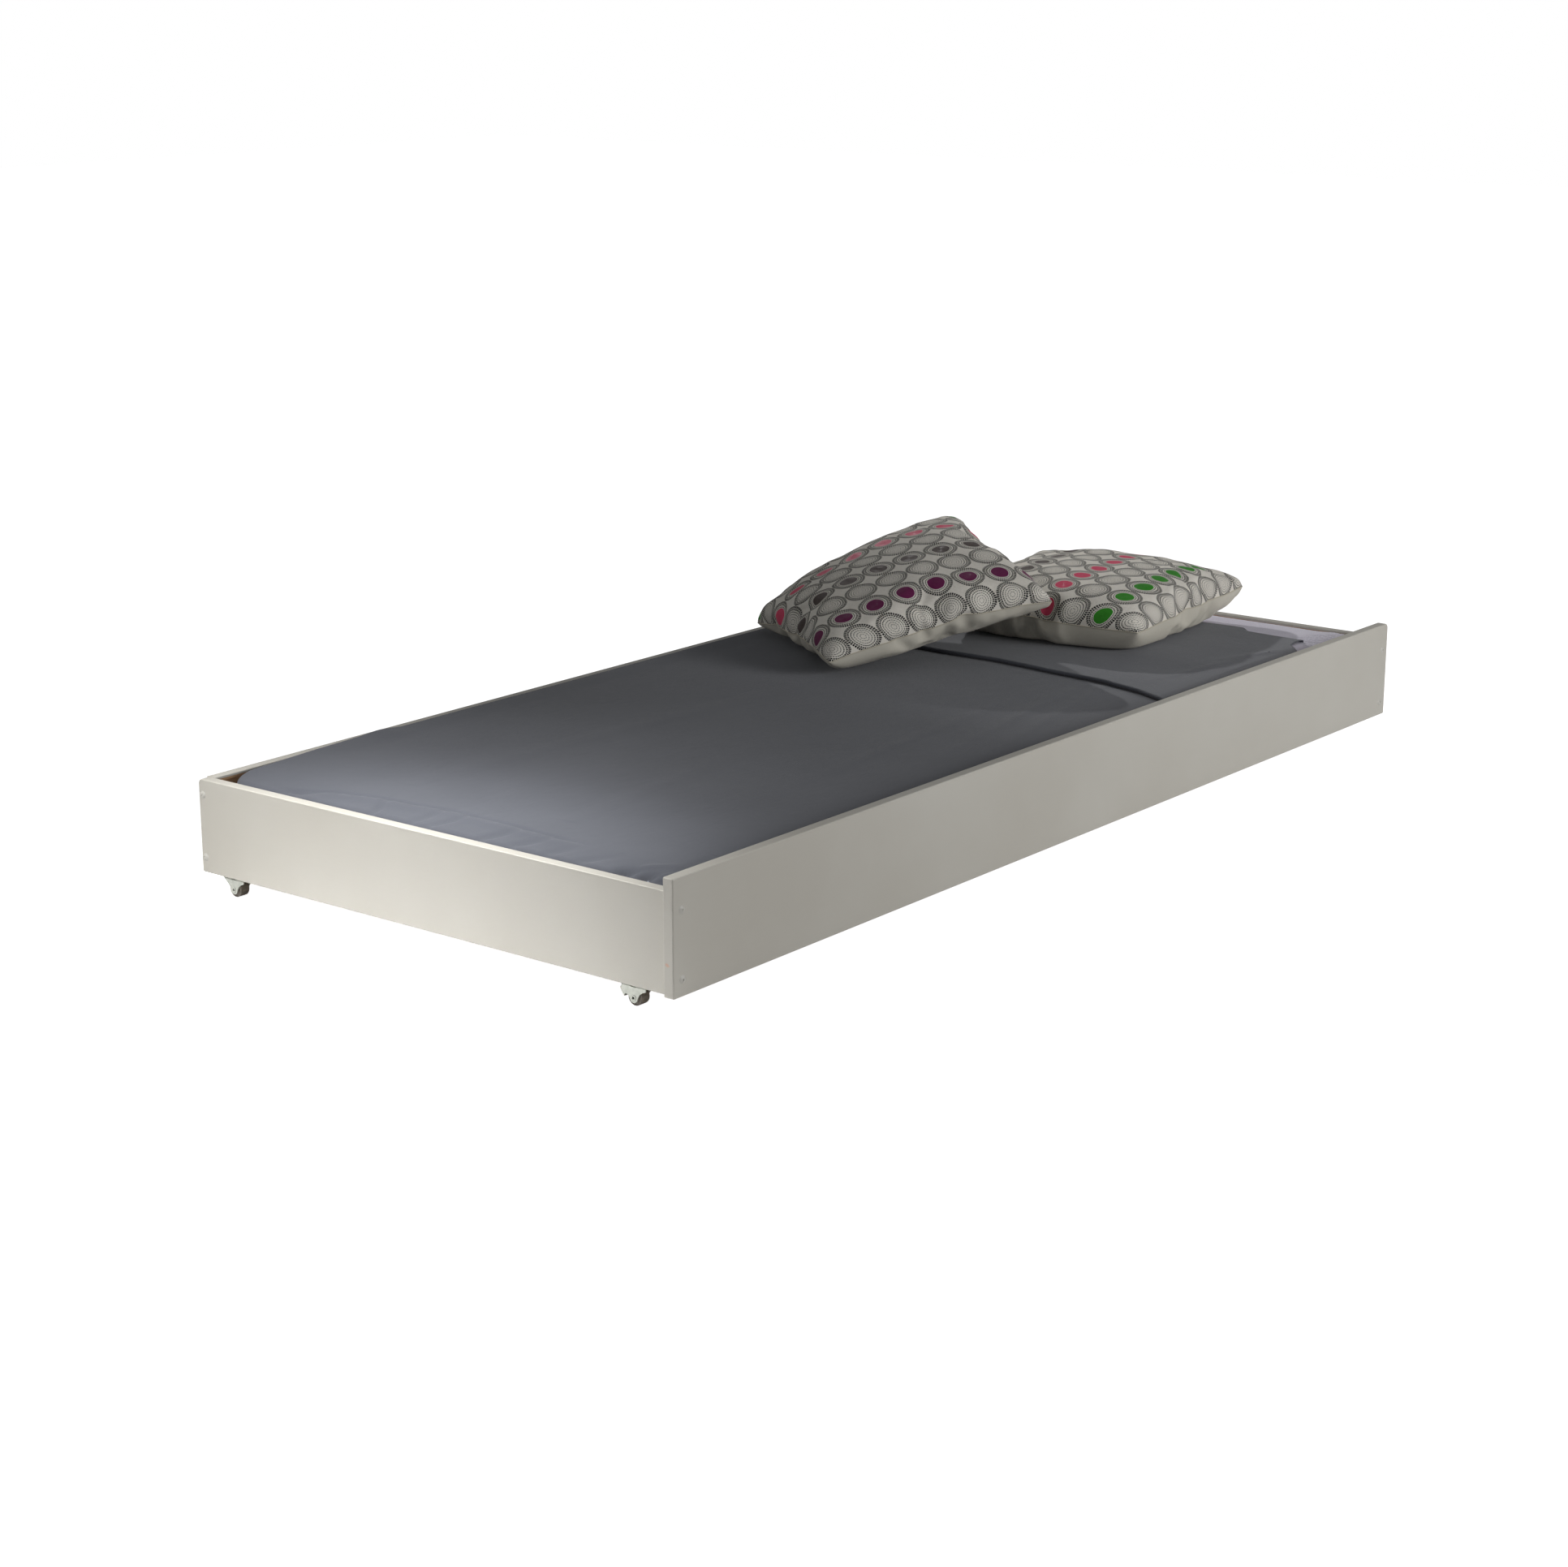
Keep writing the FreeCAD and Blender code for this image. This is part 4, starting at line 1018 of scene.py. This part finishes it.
def make_pillow(name, body, corners, upper, lower, seed, cells, bow, arch, blunt, flip=False,
                push_from=None):
    """A pillow between its four seam corners, upper and lower giving its half thicknesses.

    bow moves the middle of each side outwards, arch raises the middle of the whole pillow, and blunt
    lists the corners that are rounded off, with the radius and the rounds of softening.
    """
    piece, rim, front = blown_up(name, cells, seed, flip)
    mesh = piece.data
    tallest = max(vertex.co.z for vertex in mesh.vertices)
    deepest = -min(vertex.co.z for vertex in mesh.vertices)
    reach = max(mesh.vertices[rim[0]].co.length, 1e-6) / math.sqrt(2)
    for vertex in mesh.vertices:
        s, t = vertex.co.x / reach, vertex.co.y / reach
        middle_s, middle_t = max(1 - s * s, 0), max(1 - t * t, 0)
        out_s = bow[1] * max(s, 0) - bow[0] * max(-s, 0)
        out_t = bow[3] * max(t, 0) - bow[2] * max(-t, 0)
        place, normal = across(corners, s + out_s * middle_t / reach, t + out_t * middle_s / reach)
        place = place + normal * arch * (middle_s + middle_t) / 2
        above = vertex.co.z > 0
        height = fuller(vertex.co.z / (tallest if above else deepest)) * (upper if above else lower)
        height += rumples(s, t, seed) * math.copysign(1, height) * min(abs(height) / RUMPLES_FULL, 1)
        vertex.co = place + normal * height
    for corner, radius, rounds in blunt:
        soften(mesh, corners[corner], radius, rounds)
    spread_evenly(mesh, front, flip)
    if push_from is not None:
        clear_of(mesh, push_from, PUSH_GAP)
    for vertex in mesh.vertices:
        rest_on(vertex.co, bedding_under(vertex.co.x, vertex.co.y), REST_SOFTNESS)
    refine(piece, 1)
    if push_from is not None:
        clear_of(piece.data, push_from, SKIN_GAP)
    for vertex in piece.data.vertices:
        floor = bedding_under(vertex.co.x, vertex.co.y) - BEDDING_SINK
        vertex.co.z = max(vertex.co.z, floor)
    seam_line = [piece.data.vertices[k].co.copy() for k in rim]
    seam = tube(name + "_seam", seam_line, SEAM_RADIUS)
    piece.data.materials.append(PILLOW_CLOTH)
    seam.data.materials.append(SEAM_CLOTH)
    for part in (piece, seam):
        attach(part, body)
    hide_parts(body)
    return piece


def clear_of(mesh, other, gap):
    """Moves points out of another piece's skin."""
    tree = BVHTree.FromPolygons([v.co for v in other.data.vertices],
                                [tuple(p.vertices) for p in other.data.polygons])
    for vertex in mesh.vertices:
        nearest, normal, _, distance = tree.find_nearest(vertex.co)
        if nearest is None:
            continue
        inside = (vertex.co - nearest).dot(normal)
        if inside < gap and distance < PUSH_REACH:
            vertex.co = vertex.co + normal * (gap - inside)


def corners_of(*points):
    """Seam corners given in millimetres."""
    return [Vector(point) * MM for point in points]


FLAT_CORNERS = corners_of((520, -266, 238), (980, -204, 246), (912, 220, 246), (488, 158, 246))
LEAN_CORNERS = corners_of((69, 100, 208), (424, -135, 298), (644, 230, 371), (319, 455, 200))


# ---- dressing the CAD nodes
def dress(material, *names):
    """Gives the nodes this material in every slot."""
    for name in names:
        node = nodes[name]
        if not node.data.materials:
            node.data.materials.append(material)
        for slot in node.material_slots:
            slot.material = material


def starting(prefix):
    return [name for name in nodes if name.startswith(prefix)]


dress(painted_pine("x", FRONT_TOP), "front_board")
dress(painted_pine("x", RAIL_TOP), "rear_board")
dress(painted_pine("y", RAIL_TOP), "end_board_left", "end_board_right")
dress(bare_pine("x"), "front_cleat", "rear_cleat", "dowels")
dress(bare_pine("y"), "end_cleat_left", "end_cleat_right", *starting("slat_0"), *starting("slat_1"))
dress(zinc(), "frame_screws", "cleat_screws", "slat_screws", "castor_screws", *starting("castor_bracket"),
      *starting("castor_axle"), *starting("brake_"))
dress(moulded("wheel_plastic", linear(112, 104, 94), linear(136, 128, 117), 0.38, 0.55, 120.0),
      *starting("castor_wheel"))
dress(moulded("cap_plastic", linear(205, 202, 194), linear(214, 212, 205), 0.30, 0.42, 200.0), "screw_caps")

PILLOW_CLOTH = embroidered()
SEAM_CLOTH = seam_thread()

mattress = make_mattress()
under_sheet = make_under_sheet()
cover = make_cover()

cell_count = SIM_CELLS
flat_pillow = make_pillow(
    "pillow_lying", "flat_pillow", FLAT_CORNERS, 0.074, 0.080, 11.0, cell_count,
    bow=(0.026, 0.006, 0.012, 0.0), arch=-0.006, blunt=[(0, 0.17, 90)], flip=True)
leaning_pillow = make_pillow(
    "pillow_leaning", "leaning_pillow", LEAN_CORNERS, 0.064, 0.060, 23.0, cell_count,
    bow=(0.010, 0.020, 0.006, 0.020), arch=0.020, blunt=[(0, 0.12, 26)], push_from=flat_pillow)

# ---- stage, light and camera
WORLD_LIGHT = 0.158
FLOOR_GLOW = 1.0
FLOOR_HALF = 14.0
FLOOR_LEVEL = -0.0004
CAMERA_PLACE = (-4.0261, -3.0258, 1.4103)
CAMERA_LENS = 69.864
CAMERA_DOWN = 15.2935
CAMERA_TURN = -51.8363


def make_floor():
    """A wide pale floor that the camera sees as white."""
    marks = steps((-FLOOR_HALF, FLOOR_HALF, 1.0))
    vertices = [Vector((x, y, FLOOR_LEVEL)) for x in marks for y in marks]
    floor = new_piece("studio_floor", vertices, grid_faces(len(marks), len(marks)))
    look = Look("studio_floor", Roughness=0.9, Specular_IOR_Level=0.1)
    mottle = look.noise(look.place(), 1.5, 2.0, 0.5)
    look.paint(look.mix(mottle, linear(224, 224, 224), linear(228, 228, 228)))
    seen = look.node("LightPath").outputs["Is Camera Ray"]
    look.shader.inputs["Emission Color"].default_value = (1, 1, 1, 1)
    look.feed(look.shader.inputs["Emission Strength"], look.math("MULTIPLY", seen, FLOOR_GLOW))
    floor.data.materials.append(look.material)


def hang(name, data, place, aim, power, colour):
    """Puts a lamp at its place, turned towards its aim."""
    data.energy = power
    data.color = colour
    light = bpy.data.objects.new(name, data)
    scene.collection.objects.link(light)
    light.location = place
    light.rotation_euler = (Vector(aim) - Vector(place)).to_track_quat("-Z", "Y").to_euler()


def make_spot(name, place, aim, cone, radius, power, colour):
    data = bpy.data.lights.new(name, "SPOT")
    data.spot_size = math.radians(cone)
    data.spot_blend = 1.0
    data.shadow_soft_size = radius
    hang(name, data, place, aim, power, colour)


def make_light(name, place, aim, size, power, colour=(1, 1, 1)):
    data = bpy.data.lights.new(name, "AREA")
    data.shape = "RECTANGLE"
    data.size, data.size_y = size
    hang(name, data, place, aim, power, colour)


make_floor()
make_light("left_soft", (-4.4, 0.6, 0.9), (-1.03, 0.1, 0.1), (1.2, 0.8), 9.0)
make_light("front_soft", (0.9, -3.4, 1.2), (0.5, -0.48, 0.1), (1.6, 1.2), 47.0)
make_spot("near_key", (-1.9, 1.2, 1.9), (-1.10, 0.24, 0.10), 38.0, 0.12, 150.0, (1.0, 0.99, 0.975))
make_spot("near_top", (-1.15, 0.3, 3.0), (-1.25, -0.05, 0.0), 26.0, 0.12, 410.0, (1.0, 1.0, 1.0))
make_spot("far_key", (1.9, 2.4, 1.5), (0.85, -0.20, 0.18), 30.0, 0.03, 150.0, (1.0, 0.99, 0.975))

world = bpy.data.worlds.new("studio")
scene.world = world
world.use_nodes = True
backdrop = world.node_tree.nodes["Background"]
backdrop.inputs["Color"].default_value = (1, 1, 1, 1)
sight = world.node_tree.nodes.new("ShaderNodeLightPath")
level = world.node_tree.nodes.new("ShaderNodeMapRange")
level.inputs["To Min"].default_value = WORLD_LIGHT
level.inputs["To Max"].default_value = 1.0
world.node_tree.links.new(sight.outputs["Is Camera Ray"], level.inputs["Value"])
world.node_tree.links.new(level.outputs[0], backdrop.inputs["Strength"])

camera_data = bpy.data.cameras.new("camera")
camera_data.sensor_width = 36.0
camera_data.sensor_fit = "HORIZONTAL"
camera_data.lens = CAMERA_LENS
camera_data.clip_end = 60.0
camera = bpy.data.objects.new("camera", camera_data)
scene.collection.objects.link(camera)
camera.location = CAMERA_PLACE
camera.rotation_euler = (math.radians(90 - CAMERA_DOWN), 0.0, math.radians(CAMERA_TURN))
bpy.context.scene.camera = camera
scene.view_settings.view_transform = "Standard"
